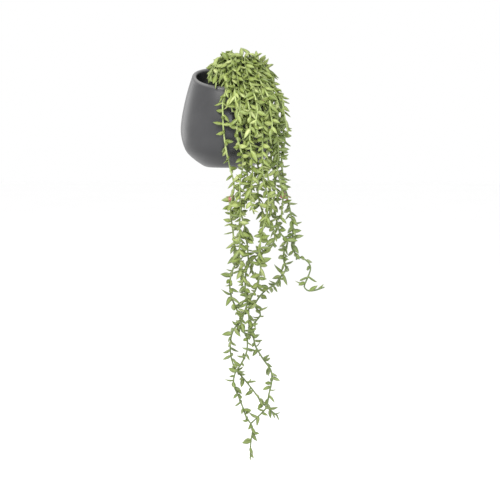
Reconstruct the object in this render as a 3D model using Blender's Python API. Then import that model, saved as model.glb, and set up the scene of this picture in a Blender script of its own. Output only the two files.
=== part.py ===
"""A wall-hung pot with a flat back and a slanted mouth, its soil, and a trailing succulent of leafy strands.

All sizes are in millimetres and become metres when a mesh is made. A point is (x, n, z): x to the right,
n towards the viewer from the pot's upright axis, z above the pot's base. `place` turns that into the
world, whose origin lies on the flat back, with the wall on the plane y = 0.
"""

import math
import random

import bmesh
import bpy
import numpy as np

MM = 0.001
SEED = 7

# The pot.
BACK = 26.0  # from the axis to the flat back
CORNER = 24.0  # rounding of the back's upright corners
WALL = 6.5
MOUTH_Z = 129.0  # top of the lip, on the axis
SLANT = math.tan(math.radians(19.0))  # of the mouth, low at the front
SLANT_FROM = 30.0
FLOOR_Z = 7.0
ORIGIN_Z = 75.0  # height of the world's origin above the base
PROFILE = np.array([
    (-400, 29.5), (0, 29.5), (1.4, 34.5), (7, 43.4), (12.6, 50.6), (18.2, 56.6), (23.8, 60.4),
    (29.4, 62.7), (35, 64.5), (43, 66.2), (52, 66.9), (60, 66.4), (70, 65.1), (81, 63.0), (92, 60.6),
    (103, 57.8), (114, 54.6), (124, 51.2), (134, 47.6), (145, 43.6), (400, 43.6),
])
ARC_SIDES, CORNER_SIDES, BACK_SIDES = 32, 3, 2
KEYHOLE_Z, KEYHOLE_ROUND, KEYHOLE_SLOT, KEYHOLE_RISE = 104.0, 4.6, 2.4, 11.0

# The soil.
SOIL_Z = 97.0
SOIL_GAP = 0.35
HOLE_DEPTH = 9.0
HOLE_GAP = 0.45

# The plant.
STEM_ROOT, STEM_TIP = 1.3, 0.85
UPRIGHT = 4  # steps of a stem, from its root, that stand straight up
STEM_SAG = 0.7  # how far the straight pieces of a stem may leave its smooth line
LEAF_LONG, LEAF_HALF_WIDE, LEAF_HALF_THICK = 13.8, 3.3, 1.6
LEAF_STEP_CROWN, LEAF_STEP_TRAIL = 8.6, 12.0
CLEAR = 0.55
CROWN_STRANDS = 17
ROOTS_AT, ROOTS_WIDE, ROOTS_DEEP = (19.0, 8.0), 25.0, 21.0
CROWN_AT, CROWN_PEAK = (17.0, 12.0), (12.0, 12.0)  # its middle in plan, and its highest spot
CROWN_TOP, CROWN_FALL, CROWN_REACH = 165.0, 38.0, 50.0
LIGHT_FROM = (18.0, 20.0)  # leaves turn their broad side up and away from this upright line

# Each trailing strand: how far in front of the axis it hangs, then (x, z) down its visible length.
TRAILS = {
    "v1": (71, [(-3, 103), (-7, 91), (-7, 72), (-6, 50), (-2, 22), (3, 0), (8, -21), (5, -39), (3, -61),
                (6, -81), (8, -103), (13, -120), (6, -136), (2, -154), (4, -173), (12, -193), (17, -208),
                (8, -218), (3, -233), (3, -254), (9, -273), (22, -288), (35, -305), (48, -323), (68, -341)]),
    "v2": (79, [(12, 89), (14, 70), (18, 50), (23, 32), (25, 16), (25, -2), (27, -20), (24, -35), (17, -53),
                (20, -69), (24, -85), (26, -107), (27, -126), (23, -144), (23, -165), (26, -181), (20, -200),
                (17, -215), (22, -223), (33, -227), (37, -242), (47, -259), (58, -275), (59, -290),
                (55, -308), (52, -325), (42, -337), (31, -348)]),
    "v3": (84, [(41, 88), (46, 69), (46, 48), (46, 25), (46, 5), (48, -17), (54, -36), (53, -54), (49, -72),
                (44, -89), (43, -105), (41, -119), (44, -132), (41, -147), (37, -163), (30, -175), (27, -191),
                (28, -210), (26, -229), (25, -247), (17, -265), (9, -278), (7, -294), (13, -309), (19, -324),
                (24, -338), (33, -353), (31, -368), (30, -382), (30, -394)]),
    "v4": (42, [(73, 95), (74, 79), (73, 61), (77, 38), (73, 20), (73, 3), (75, -13), (79, -34), (84, -57),
                (88, -76), (88, -96), (87, -109), (95, -121), (108, -128), (113, -138), (109, -151),
                (104, -163), (110, -169), (120, -168), (132, -164)]),
    "v5": (50, [(58, 95), (59, 75), (58, 51), (58, 27), (59, 7), (64, -14), (62, -34), (62, -52), (66, -72),
                (71, -89), (81, -100), (76, -115), (76, -127), (79, -138), (72, -148), (64, -159),
                (51, -167), (41, -178), (36, -189), (44, -200), (37, -211), (30, -222)]),
    "v6": (62, [(35, 91), (39, 76), (38, 61), (33, 44), (36, 24), (40, 6), (42, -14), (40, -32), (44, -51),
                (51, -67), (61, -80), (63, -93), (58, -107), (48, -112), (38, -119), (31, -128), (33, -143)]),
    "v7": (86, [(16, 85), (14, 69), (13, 44), (17, 27), (20, 14), (19, -1), (16, -17), (16, -36), (17, -56),
                (15, -75), (16, -95), (15, -112), (17, -128), (21, -143), (19, -158)]),
    "m3": (75, [(51, 89), (53, 70), (52, 49), (52, 24), (52, 5), (54, -13), (57, -31), (58, -49), (56, -65)]),
    "m4": (62, [(66, 93), (67, 74), (66, 50), (68, 25), (66, 4), (70, -17), (74, -35), (73, -52), (72, -69)]),
    "m6": (91, [(28, 84), (30, 64), (29, 44), (31, 24), (32, 4), (33, -12), (30, -28), (31, -44), (35, -59)]),
    "s1": (78, [(4, 100), (4, 89), (6, 77)]),
    "s2": (85, [(10, 98), (11, 84), (15, 71), (16, 62)]),
    "s3": (75, [(23, 97), (23, 81), (24, 65), (25, 52)]),
    "s4": (93, [(37, 94), (39, 78), (37, 62), (40, 46)]),
    "s5": (83, [(54, 96), (56, 80), (59, 61), (56, 42)]),
    "s6": (60, [(70, 91), (75, 74), (78, 61), (81, 50)]),
    "s7": (78, [(46, 100), (49, 86), (51, 70), (48, 54)]),
    "s8": (55, [(62, 99), (64, 83), (64, 64), (66, 45), (65, 29), (63, 15)]),
}


def radius(z):
    """Outer radius of the pot's round side at a height."""
    return np.interp(z, PROFILE[:, 0], PROFILE[:, 1])


def mouth_z(n):
    """Height of the top of the lip."""
    return MOUTH_Z - SLANT * n


def beyond(x, n, z):
    """How far spots lie outside the pot's outer face, level and negative inside, and the way out."""
    r = radius(z)
    cx = np.sqrt((r - CORNER) ** 2 - (BACK - CORNER) ** 2)
    corner = np.stack([np.sign(x) * np.maximum(np.abs(x) - cx, 0), np.minimum(n + BACK - CORNER, 0), 0 * x], axis=1)
    round_side = np.stack([x, n, 0 * x], axis=1)
    from_round, from_corner = np.linalg.norm(round_side, axis=1), np.linalg.norm(corner, axis=1)
    behind = from_corner - CORNER > from_round - r
    way = np.where(behind[:, None], corner, round_side)
    way /= np.maximum(np.linalg.norm(way, axis=1, keepdims=True), 1e-6)
    return np.where(behind, from_corner - CORNER, from_round - r), way


def place(points):
    """Millimetres from the axis and the base to metres in the world."""
    x, n, z = np.asarray(points, float).T
    return np.stack([x, -n - BACK, z - ORIGIN_Z], axis=1) * MM


def mesh_object(name, points, faces, material=None, smooth=False):
    mesh = bpy.data.meshes.new(name)
    mesh.from_pydata(place(points).tolist(), [], faces)
    mesh.validate()
    if smooth:
        mesh.shade_smooth()
    if material:
        mesh.materials.append(material)
    made = bpy.data.objects.new(name, mesh)
    bpy.context.scene.collection.objects.link(made)
    return made


def material(name, colour, roughness):
    made = bpy.data.materials.new(name)
    made.use_nodes = True
    shader = made.node_tree.nodes["Principled BSDF"]
    shader.inputs["Base Color"].default_value = (*colour, 1)
    shader.inputs["Roughness"].default_value = roughness
    made.diffuse_color = (*colour, 1)
    return made


def apply_modifiers(made):
    bpy.ops.object.select_all(action="DESELECT")
    bpy.context.view_layer.objects.active = made
    made.select_set(True)
    for modifier in list(made.modifiers):
        bpy.ops.object.modifier_apply(modifier=modifier.name)


def boolean(made, others, operation, solver="EXACT"):
    """Cuts the others from the object, or joins them to it, in one step, and removes them."""
    group = bpy.data.collections.new(made.name + "_others")
    for other in others:
        group.objects.link(other)
    modifier = made.modifiers.new(operation.title(), "BOOLEAN")
    modifier.operation = operation
    modifier.operand_type = "COLLECTION"
    modifier.collection = group
    modifier.solver = solver
    apply_modifiers(made)
    for other in others:
        bpy.data.objects.remove(other)
    bpy.data.collections.remove(group)


# The pot and the soil.


def d_outline(r, inset):
    """Rounded D in plan as (x, b), b towards the wall: front arc, left corner, flat back, right corner."""
    r, back, corner = r - inset, BACK - inset, CORNER - inset
    cx = math.sqrt((r - corner) ** 2 - (back - corner) ** 2)
    turn = math.atan2(back - corner, cx)
    spots = []
    for i in range(ARC_SIDES):
        a = turn - (math.pi + 2 * turn) * i / ARC_SIDES
        spots.append((r * math.cos(a), r * math.sin(a)))
    for i in range(CORNER_SIDES):
        a = math.pi - turn + (turn - math.pi / 2) * i / CORNER_SIDES
        spots.append((-cx + corner * math.cos(a), back - corner + corner * math.sin(a)))
    for i in range(BACK_SIDES):
        spots.append((-cx + 2 * cx * i / BACK_SIDES, back))
    for i in range(CORNER_SIDES):
        a = math.pi / 2 + (turn - math.pi / 2) * i / CORNER_SIDES
        spots.append((cx + corner * math.cos(a), back - corner + corner * math.sin(a)))
    return spots


def slant_at(z):
    t = min(max((z - SLANT_FROM) / (MOUTH_Z - SLANT_FROM), 0.0), 1.0)
    return SLANT * t * t * (3 - 2 * t)


def ring(z, inset, rise=0.0, slant=None):
    """One loop round the pot, inset from its outside. Each point takes the radius of its own height."""
    slant = slant_at(z) if slant is None else slant
    count = len(d_outline(60.0, 0.0))
    loop = []
    for i in range(count):
        here = z
        for _ in range(8):
            x, b = d_outline(float(radius(here)), inset)[i]
            here = z + slant * b
        loop.append((x, -b, here + rise))
    return loop


def loft(rings, cap_first=True, cap_last=True):
    count = len(rings[0])
    points = [p for loop in rings for p in loop]
    faces = []
    for k in range(len(rings) - 1):
        for i in range(count):
            j = (i + 1) % count
            a, b = k * count, (k + 1) * count
            faces.append((a + i, b + i, b + j, a + j))
    if cap_first:
        faces.append(tuple(range(count)))
    if cap_last:
        faces.append(tuple((len(rings) - 1) * count + i for i in reversed(range(count))))
    return points, faces


OUTER_LEVELS = (0, 1.4, 7, 12.6, 18.2, 25, 33, 43, 54, 68, 83, 99, 114)
INNER_LEVELS = (115, 100, 84, 66, 46, 28, 16)


def pot_shell():
    half = WALL / 2
    rings = [ring(z, 0.0) for z in OUTER_LEVELS]
    for turn in (0, 45, 90, 135, 180):
        a = math.radians(turn)
        rings.append(ring(MOUTH_Z - half, half * (1 - math.cos(a)), half * math.sin(a)))
    rings += [ring(z, WALL) for z in INNER_LEVELS]
    rings.append(ring(FLOOR_Z, WALL + 5.0))
    return loft(rings)


def keyhole():
    """Round hole with a narrower slot above it, as a prism through the back wall."""
    outline = []
    meet = math.asin(KEYHOLE_SLOT / KEYHOLE_ROUND)
    for i in range(17):
        a = math.pi / 2 + meet + (2 * math.pi - 2 * meet) * i / 16
        outline.append((KEYHOLE_ROUND * math.cos(a), KEYHOLE_Z + KEYHOLE_ROUND * math.sin(a)))
    for i in range(7):
        a = math.pi * i / 6
        outline.append((KEYHOLE_SLOT * math.cos(a), KEYHOLE_Z + KEYHOLE_RISE + KEYHOLE_SLOT * math.sin(a)))
    rings = [[(x, n, z) for x, z in outline] for n in (-BACK - 5, -BACK + WALL + 5)]
    return loft(rings)


def soil_plug():
    inset = WALL + SOIL_GAP
    rings = [ring(FLOOR_Z + SOIL_GAP, inset + 5.0)]
    rings += [ring(z, inset) for z in reversed(INNER_LEVELS[3::2])]
    rings.append(ring(SOIL_Z, inset + 0.5, slant=0.0))
    rng = random.Random(SEED + 1)
    edge = rings[-1]
    for share in (0.6,):
        rings.append([(x * share, n * share, z + 2.4 * (1 - share) + rng.uniform(-0.5, 0.5))
                      for x, n, z in edge])
    return loft(rings)


# The strands, as smooth lines.


def spline(points, step):
    """Catmull-Rom curve through the points, resampled at even steps."""
    points = np.asarray(points, float)
    ends = np.vstack([2 * points[0] - points[1], points, 2 * points[-1] - points[-2]])
    fine = []
    for a, b, c, d in zip(ends[:-3], ends[1:-2], ends[2:-1], ends[3:]):
        for t in np.arange(0, 1, 0.1):
            fine.append(0.5 * (2 * b + (c - a) * t + (2 * a - 5 * b + 4 * c - d) * t ** 2
                               + (3 * b - a - 3 * c + d) * t ** 3))
    fine.append(points[-1])
    return resample(np.array(fine), step)


def resample(line, step):
    along = np.concatenate([[0], np.cumsum(np.linalg.norm(np.diff(line, axis=0), axis=1))])
    count = max(3, int(round(along[-1] / step)) + 1)
    at = np.linspace(0, along[-1], count)
    return np.stack([np.interp(at, along, line[:, k]) for k in range(3)], axis=1)


def simplified(line, sag):
    """The fewest of the line's points that keep its pieces within the sag."""
    keep = [0, UPRIGHT, len(line) - 1]
    spans = [(UPRIGHT, len(line) - 1)]
    while spans:
        a, b = spans.pop()
        if b - a < 2:
            continue
        along = line[b] - line[a]
        length = np.linalg.norm(along)
        off = np.linalg.norm(np.cross(line[a + 1:b] - line[a], along), axis=1) / max(length, 1e-6)
        far = a + 1 + int(np.argmax(off))
        if off.max() > sag or length > 30:
            if off.max() <= sag:
                far = (a + b) // 2
            keep.append(far)
            spans += [(a, far), (far, b)]
    return line[sorted(keep)]


def root_spots(count):
    """A sunflower head of roots, so that they are evenly spaced."""
    spots = []
    for i in range(count):
        share = math.sqrt((i + 0.5) / count)
        a = i * math.radians(137.508)
        spots.append((ROOTS_AT[0] + ROOTS_WIDE * share * math.cos(a),
                      ROOTS_AT[1] + ROOTS_DEEP * share * math.sin(a)))
    return spots


def crown_aims(rng):
    """Where each strand of the crown ends in plan, and which shell of the dome it follows."""
    aims = []
    for i in range(CROWN_STRANDS):
        a = math.radians(360 * (i + 0.5) / CROWN_STRANDS + rng.uniform(-8, 8))
        a += 0.45 * math.sin(a)  # the long strands fill the right side, so more of these go left
        front = 0.5 + 0.5 * math.sin(a)
        share = (1.0, 0.76, 0.94, 0.58)[i % 4]
        out_x = 48 * share * rng.uniform(0.92, 1.06)
        out_n = (26 + 26 * front) * share * rng.uniform(0.92, 1.06)
        aims.append((CROWN_AT[0] + out_x * math.cos(a), CROWN_AT[1] + out_n * math.sin(a),
                     rng.uniform(0.72, 1.0)))
    return aims


def dome_z(x, n, shell):
    """Height of the crown's dome over a spot, or of a shell inside it."""
    out = math.hypot(x - CROWN_PEAK[0], n - CROWN_PEAK[1]) / CROWN_REACH
    return SOIL_Z + (CROWN_TOP - CROWN_FALL * out * out - SOIL_Z) * shell


def matched(spots, targets):
    """Gives each target a root so that lines from one to the other cross as little as can be."""
    order = list(range(len(targets)))
    cost = np.array([[(s[0] - t[0]) ** 2 + (s[1] - t[1]) ** 2 for s in spots] for t in targets])
    better = True
    while better:
        better = False
        for i in range(len(order)):
            for j in range(i + 1, len(order)):
                now = cost[i, order[i]] + cost[j, order[j]]
                if cost[i, order[j]] + cost[j, order[i]] < now - 1e-9:
                    order[i], order[j] = order[j], order[i]
                    better = True
    return [spots[k] for k in order]


def upright(line):
    line[:UPRIGHT + 1, :2] = line[0, :2]
    return line


def rough_lines():
    rng = random.Random(SEED)
    aims = crown_aims(rng)
    names = ["strand_" + key for key in TRAILS] + ["crown_%02d" % (i + 1) for i in range(CROWN_STRANDS)]
    targets = [(route[0][0], near) for near, route in TRAILS.values()] + [aim[:2] for aim in aims]
    roots = matched(root_spots(len(names)), targets)
    lines = []
    for (near, route), root in zip(TRAILS.values(), roots):
        x, z = route[0]
        reach = math.hypot(x, near)
        lip = (54 * x / reach, 54 * near / reach)
        layer = max(near - 42, reach - 84, 0)
        crest = (root[0] * 0.5 + lip[0] * 0.5, root[1] * 0.5 + lip[1] * 0.5, 126 + 0.52 * layer)
        over = (lip[0] * 1.04, lip[1] * 1.04, mouth_z(lip[1]) + 5 + 0.5 * layer)
        line = [(*root, SOIL_Z - 8.3), (*root, SOIL_Z), (*root, SOIL_Z + 9), crest, over]
        phase = rng.uniform(0, 2 * math.pi)
        for px, pz in route:
            depth = near - 0.035 * max(-20 - pz, 0)
            depth += 4.5 * math.sin(pz / 21 + phase) * min(max(60 - pz, 0) / 80, 1)
            line.append((px, depth, pz))
        lines.append(upright(spline(line, 4.0)))
    for aim, root in zip(aims, roots[len(TRAILS):]):
        swing = rng.uniform(-9, 9)
        reach = math.dist(root, aim[:2])
        wider = max(24 / reach, 1)
        end = (root[0] + (aim[0] - root[0]) * wider, root[1] + (aim[1] - root[1]) * wider)
        line = [(*root, SOIL_Z - 8.3), (*root, SOIL_Z), (*root, SOIL_Z + 12)]
        for share, height in ((0.2, 0.55), (0.42, 0.85), (0.66, 1.0), (0.86, 1.0), (1.0, 0.9)):
            side = swing * math.sin(math.pi * share)
            x = root[0] + (end[0] - root[0]) * share + side
            n = root[1] + (end[1] - root[1]) * share - side * 0.4
            line.append((x, n, SOIL_Z + (dome_z(x, n, aim[2]) - SOIL_Z) * height))
        lines.append(upright(spline(line, 4.0)))
    return names, lines


def stem_push(points, keep):
    """How far each point must move to keep clear of the pot, the soil and the wall."""
    x, n, z = points.T
    off, way = beyond(x, n, z)
    push = np.zeros_like(points)
    lip = mouth_z(n)
    beside = (off > -WALL - keep) & (off < keep) & (z < lip + keep)
    near_lip = beside & (z > lip - 7)
    outward_of = beside & ~near_lip & (off > -WALL / 2)
    inward_of = beside & ~near_lip & ~outward_of
    push[near_lip, 2] += (lip + keep - z)[near_lip]
    push[outward_of] += way[outward_of] * (keep - off)[outward_of, None]
    push[inward_of] -= way[inward_of] * (off + WALL + keep)[inward_of, None]
    behind = n < -BACK + keep + 1.5
    push[behind, 1] += (-BACK + keep + 1.5 - n)[behind]
    return push


def bent_clear(lines, rounds=120, apart=6.0):
    """Bends the lines until no two stems touch. The roots and the shape of the long falls hardly move."""
    owner = np.concatenate([[k] * len(line) for k, line in enumerate(lines)])
    fixed = np.concatenate([[1] * (UPRIGHT + 1) + [0] * (len(line) - UPRIGHT - 1) for line in lines]).astype(bool)
    home = np.vstack(lines)
    points = home.copy()
    same_line = owner[:-1] == owner[1:]
    inner = np.zeros(len(points), bool)
    inner[1:-1] = same_line[:-1] & same_line[1:]
    for step in range(rounds):
        gap = points[:, None] - points[None]
        away = np.linalg.norm(gap, axis=2)
        close = (away < apart) & (owner[:, None] != owner[None])
        share = np.where(close, (apart - away) / np.maximum(away, 0.01), 0.0)
        push = 0.5 * (gap * share[:, :, None]).sum(axis=1)
        push[inner] = 0.5 * push[inner] + 0.25 * (push[np.flatnonzero(inner) - 1] + push[np.flatnonzero(inner) + 1])
        length = np.linalg.norm(push, axis=1, keepdims=True)
        push *= np.minimum(1.0, 1.5 / np.maximum(length, 1e-9))
        if step < rounds * 0.7:
            bend = np.zeros_like(points)
            at = np.flatnonzero(inner)
            bend[at] = 0.5 * (points[at - 1] + points[at + 1]) - points[at]
            rest = np.zeros_like(points)
            rest[at] = 0.5 * (home[at - 1] + home[at + 1]) - home[at]
            push += 0.3 * (bend - rest)
        push += stem_push(points + push, 3.9)
        push[fixed] = 0
        points = points + push
    cuts = np.cumsum([len(line) for line in lines])[:-1]
    return np.split(points, cuts)


# The leaves, as (foot, direction, side, length) along each line.


def frames(line):
    """Tangent and two normals at each point, carried along without twist."""
    tangent = np.gradient(line, axis=0)
    tangent /= np.linalg.norm(tangent, axis=1, keepdims=True)
    side = np.cross(tangent[0], (0.3, 1.0, 0.1))
    sides = []
    for t in tangent:
        side = side - t * np.dot(side, t)
        side /= np.linalg.norm(side)
        sides.append(side)
    sides = np.array(sides)
    return tangent, sides, np.cross(tangent, sides)


LEAF_BALLS = ((0.18, 1.4), (0.4, 2.7), (0.6, 2.5), (0.8, 1.5), (1.0, 0.4))


def leaf_balls(foot, direction, length):
    share = length / LEAF_LONG
    return [(*(foot + direction * length * t), r * share) for t, r in LEAF_BALLS]


def balls_clear(balls, others):
    """True where a leaf's balls touch neither the pot, the soil, the wall nor another strand."""
    spots, rad = balls[:, :3], balls[:, 3] + CLEAR
    x, n, z = spots.T
    off, _ = beyond(x, n, z)
    above = z - rad > mouth_z(n)
    outside = (off - rad > 0) | (z + rad < -1)
    inside = (off + rad < -WALL) & (z - rad > SOIL_Z + 3)
    if not (above | outside | inside).all() or (n - rad < -BACK + 1.5).any():
        return False
    away = np.linalg.norm(spots[:, None] - others[None, :, :3], axis=2)
    return bool((away > rad[:, None] + others[None, :, 3]).all())


def broad_side(foot, direction, tangent, roll):
    """Which way a leaf is wide. Its upper face turns to the light, more or less, as its roll says."""
    light = np.array([foot[0] - LIGHT_FROM[0], foot[1] - LIGHT_FROM[1], 40.0])
    light /= np.linalg.norm(light)
    face = light - direction * np.dot(light, direction)
    if np.linalg.norm(face) < 0.25:
        face = np.cross(np.cross(direction, tangent), direction)
    face /= np.linalg.norm(face)
    flat = np.cross(face, direction)
    return flat * math.cos(roll) + face * math.sin(roll)


def leaf_plan(names, lines):
    rng = random.Random(SEED + 2)
    stems = []
    for line in lines:
        fine = resample(line, 1.6)  # the line is made of straight pieces
        stems.append(np.column_stack([fine, np.full(len(fine), STEM_ROOT * 1.2)]))
    placed = [[] for _ in lines]
    plan = [[] for _ in lines]
    for k, (name, line) in enumerate(zip(names, lines)):
        fine = resample(line, 1.0)
        tangent, side, other = frames(fine)
        others = np.vstack([stem for j, stem in enumerate(stems) if j != k])
        taken = [ball for j, leaves in enumerate(placed) if j != k for ball in leaves]
        others = np.vstack([others, np.array(taken).reshape(-1, 4)])
        near_ball = (others[:, :3] > fine.min(axis=0) - 20).all(axis=1)
        near_ball &= (others[:, :3] < fine.max(axis=0) + 20).all(axis=1)
        others = others[near_ball]
        turn = rng.uniform(0, 360)
        at = 20.0 + rng.uniform(0, 4)
        while at < len(fine) - 2:
            i = int(at)
            low = fine[i, 2] < 95
            left = len(fine) - at
            turn += 137.5 + rng.uniform(-24, 24)
            lean = math.radians(rng.uniform(48, 76) if left > 24 else rng.uniform(30, 50))
            length = LEAF_LONG * rng.uniform(0.84, 1.08) * (0.72 if left < 14 else 1.0)
            droop = 0.35 * min(max(fine[i, 2] - 90, 0) / 30, 1)
            roll = math.radians(rng.uniform(-55, 55))
            for tried in range(26):
                shift = (tried + 1) // 2 * 27 * (-1) ** tried
                long = length * (1.0 if tried < 14 else 0.78)
                a = math.radians(turn + shift)
                out = side[i] * math.cos(a) + other[i] * math.sin(a)
                direction = tangent[i] * math.cos(lean) + out * math.sin(lean) - (0, 0, droop)
                direction /= np.linalg.norm(direction)
                balls = np.array(leaf_balls(fine[i], direction, long))
                if balls_clear(balls[1:], others):
                    flat = broad_side(fine[i], direction, tangent[i], roll)
                    plan[k].append((fine[i], direction, flat, long))
                    placed[k] += [tuple(ball) for ball in balls]
                    break
            at += (LEAF_STEP_TRAIL if low else LEAF_STEP_CROWN) * rng.uniform(0.72, 1.28)
    return plan


# Meshes of stems and leaves.


def tube(line, sides, first, last):
    tangent, side, other = frames(line)
    along = np.linspace(0, 1, len(line))
    rings = []
    for p, s, o, t in zip(line, side, other, along):
        r = first + (last - first) * t
        rings.append([tuple(p + r * (s * math.cos(2 * math.pi * i / sides) + o * math.sin(2 * math.pi * i / sides)))
                      for i in range(sides)])
    return loft(rings)


def leaf(foot, direction, flat, length):
    """Fleshy leaf, flat above and keeled below, pointed at the tip. Its foot starts inside the stem."""
    up = np.cross(direction, flat)
    middle = foot + direction * length * 0.45
    share = length / LEAF_LONG
    wide, thick = LEAF_HALF_WIDE * share, LEAF_HALF_THICK * share
    points = [foot - direction * 0.6, middle + flat * wide + up * thick * 0.8,
              middle - flat * wide + up * thick * 0.8, middle - up * thick * 1.2, foot + direction * length]
    faces = [(0, 1, 2), (0, 2, 3), (0, 3, 1), (4, 2, 1), (4, 3, 2), (4, 1, 3)]
    return points, faces


def outward(made):
    """Turns a closed mesh's faces out."""
    mesh = made.data
    mesh.calc_loop_triangles()
    points = np.array([v.co for v in mesh.vertices])
    corners = points[np.array([t.vertices for t in mesh.loop_triangles])]
    if np.linalg.det(corners).sum() < 0:
        mesh.flip_normals()
    return made


def strand_object(name, line, leaves, skin):
    thick = 1.25  # a three-sided tube is drawn wider, to show the width of a round one
    points, faces = tube(line, 3, STEM_ROOT * thick, STEM_TIP * thick)
    made = outward(mesh_object(name, points, faces, skin))
    extra = []
    for i, one in enumerate(leaves):
        points, faces = leaf(*one)
        extra.append(outward(mesh_object("%s_leaf_%d" % (name, i), points, faces)))
    boolean(made, extra, "UNION", "MANIFOLD")
    drop_scraps(made)
    return made


def drop_scraps(made):
    """Keeps the largest body of a mesh, where faces count as joined only across a plain edge."""
    mesh = bmesh.new()
    mesh.from_mesh(made.data)
    left = set(mesh.faces)
    bodies = []
    while left:
        body = set()
        edge = [left.pop()]
        while edge:
            face = edge.pop()
            body.add(face)
            for link in face.edges:
                for other in link.link_faces:
                    if len(link.link_faces) == 2 and other in left:
                        left.discard(other)
                        edge.append(other)
        bodies.append(body)
    bodies.sort(key=len)
    for body in bodies[:-1]:
        bmesh.ops.delete(mesh, geom=list(body), context="FACES")
    if len(bodies) > 1:
        print(made.name, "scraps dropped:", [len(body) for body in bodies[:-1]])
    mesh.to_mesh(made.data)
    mesh.free()


def main():
    for old in list(bpy.data.objects):
        bpy.data.objects.remove(old)
    ceramic = material("pot_grey", (0.115, 0.112, 0.110), 0.42)
    earth = material("soil_brown", (0.045, 0.032, 0.022), 0.95)
    fresh = material("leaf_green", (0.36, 0.47, 0.12), 0.5)

    names, lines = rough_lines()
    lines = [simplified(line, STEM_SAG) for line in bent_clear(lines)]
    plan = leaf_plan(names, lines)

    pot = outward(mesh_object("pot", *pot_shell(), ceramic, smooth=True))
    boolean(pot, [outward(mesh_object("keyhole_cutter", *keyhole()))], "DIFFERENCE")

    soil = outward(mesh_object("soil", *soil_plug(), earth))
    holes = []
    for i, line in enumerate(lines):
        x, n = line[0][:2]
        r = (STEM_ROOT * 1.25 + HOLE_GAP) / math.cos(math.pi / 5)
        ends = [(x, n, SOIL_Z - HOLE_DEPTH), (x, n, SOIL_Z + 8)]
        rings = [[(x + r * math.cos(math.pi * k / 2.5), n + r * math.sin(math.pi * k / 2.5), z)
                  for k in range(5)] for x, n, z in ends]
        holes.append(outward(mesh_object("hole_%d" % i, *loft(rings))))
    boolean(soil, holes, "DIFFERENCE")

    for name, line, leaves in zip(names, lines, plan):
        strand_object(name, line, leaves, fresh)
    print("leaves", sum(len(leaves) for leaves in plan), "on", len(lines), "strands")


main()
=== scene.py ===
# %% [markdown]
# A potted trailing succulent on a wall.
#
# The pot is a satin dark grey ceramic pot with a flat back, a round front and a mouth cut on a slant.
# From it a succulent spills over the low front edge, in thin stems set with small fleshy leaves. This
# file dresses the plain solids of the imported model: it makes a finer pot, soil with a crumbly top, and
# a finer stem and rounder leaves for every strand, each in the place of the solid it stands for.

import math
import random

import bmesh
import bpy
import numpy as np
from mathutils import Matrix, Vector, noise


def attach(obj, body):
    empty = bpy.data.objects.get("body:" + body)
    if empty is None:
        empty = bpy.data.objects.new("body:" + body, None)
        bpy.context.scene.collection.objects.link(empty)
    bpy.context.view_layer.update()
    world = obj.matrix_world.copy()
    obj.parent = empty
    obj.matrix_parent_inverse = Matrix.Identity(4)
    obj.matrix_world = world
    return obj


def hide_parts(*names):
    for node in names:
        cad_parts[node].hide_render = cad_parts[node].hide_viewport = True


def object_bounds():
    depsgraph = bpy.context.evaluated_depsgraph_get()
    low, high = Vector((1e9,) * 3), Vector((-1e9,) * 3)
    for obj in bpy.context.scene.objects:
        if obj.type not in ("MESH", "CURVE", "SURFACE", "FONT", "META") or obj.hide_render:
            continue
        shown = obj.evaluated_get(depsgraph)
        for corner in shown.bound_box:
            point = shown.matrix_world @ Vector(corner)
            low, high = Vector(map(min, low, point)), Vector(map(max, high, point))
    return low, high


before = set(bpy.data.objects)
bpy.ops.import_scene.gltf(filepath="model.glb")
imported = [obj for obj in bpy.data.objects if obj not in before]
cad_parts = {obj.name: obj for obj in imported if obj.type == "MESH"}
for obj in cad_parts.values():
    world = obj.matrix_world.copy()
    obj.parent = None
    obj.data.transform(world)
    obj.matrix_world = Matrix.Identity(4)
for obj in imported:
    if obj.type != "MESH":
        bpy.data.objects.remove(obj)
cad_low, cad_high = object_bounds()
print("solids:", len(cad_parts), "box", [round(v, 4) for v in (*cad_low, *cad_high)])

# %% [markdown]
# Sizes come first. The solids were drawn in millimetres, from the pot's upright axis and the height
# above its base, so the same numbers are kept here. A point is (x, n, z): x to the right, n towards the
# viewer and z up. One function turns such points into the world's metres, whose origin lies on the flat
# back of the pot, with the wall on the plane y = 0.

# %% Real sizes
MM = 0.001
SEED = 7
BACK, CORNER, WALL = 26.0, 24.0, 6.5  # axis to flat back, corner radius in plan, wall thickness
MOUTH_Z, SLANT = 129.0, math.tan(math.radians(19.0))  # top of the lip at the axis, and its slope
SLANT_FROM = 30.0  # height from which the levels begin to tilt
FLOOR_Z, FLOOR_INSET, ORIGIN_Z = 7.0, 5.0, 75.0
PROFILE = np.array([  # height and outer radius
    (-400, 29.5), (0, 29.5), (1.4, 34.5), (7, 43.4), (12.6, 50.6), (18.2, 56.6), (23.8, 60.4),
    (29.4, 62.7), (35, 64.5), (43, 66.2), (52, 66.9), (60, 66.4), (70, 65.1), (81, 63.0), (92, 60.6),
    (103, 57.8), (114, 54.6), (124, 51.2), (134, 47.6), (145, 43.6), (400, 43.6),
])
SOIL_Z, SOIL_GAP = 97.0, 0.35
KEYHOLE_Z, KEYHOLE_ROUND, KEYHOLE_SLOT, KEYHOLE_RISE = 104.0, 4.6, 2.4, 11.0


def place(points):
    """Millimetres from the axis and the base to metres in the world."""
    x, n, z = np.asarray(points, float).reshape(-1, 3).T
    return np.stack([x, -n - BACK, z - ORIGIN_Z], axis=1) * MM


def radius(z):
    """Outer radius of the pot's round side at a height, straight between the profile's points."""
    return np.interp(z, PROFILE[:, 0], PROFILE[:, 1])


def mouth_z(n):
    """Height of the top of the lip."""
    return MOUTH_Z - SLANT * n


def share_between(value, start, end):
    """0 up to the start, 1 from the end on, and rising evenly between them."""
    return np.clip((value - start) / (end - start), 0, 1)


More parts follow.
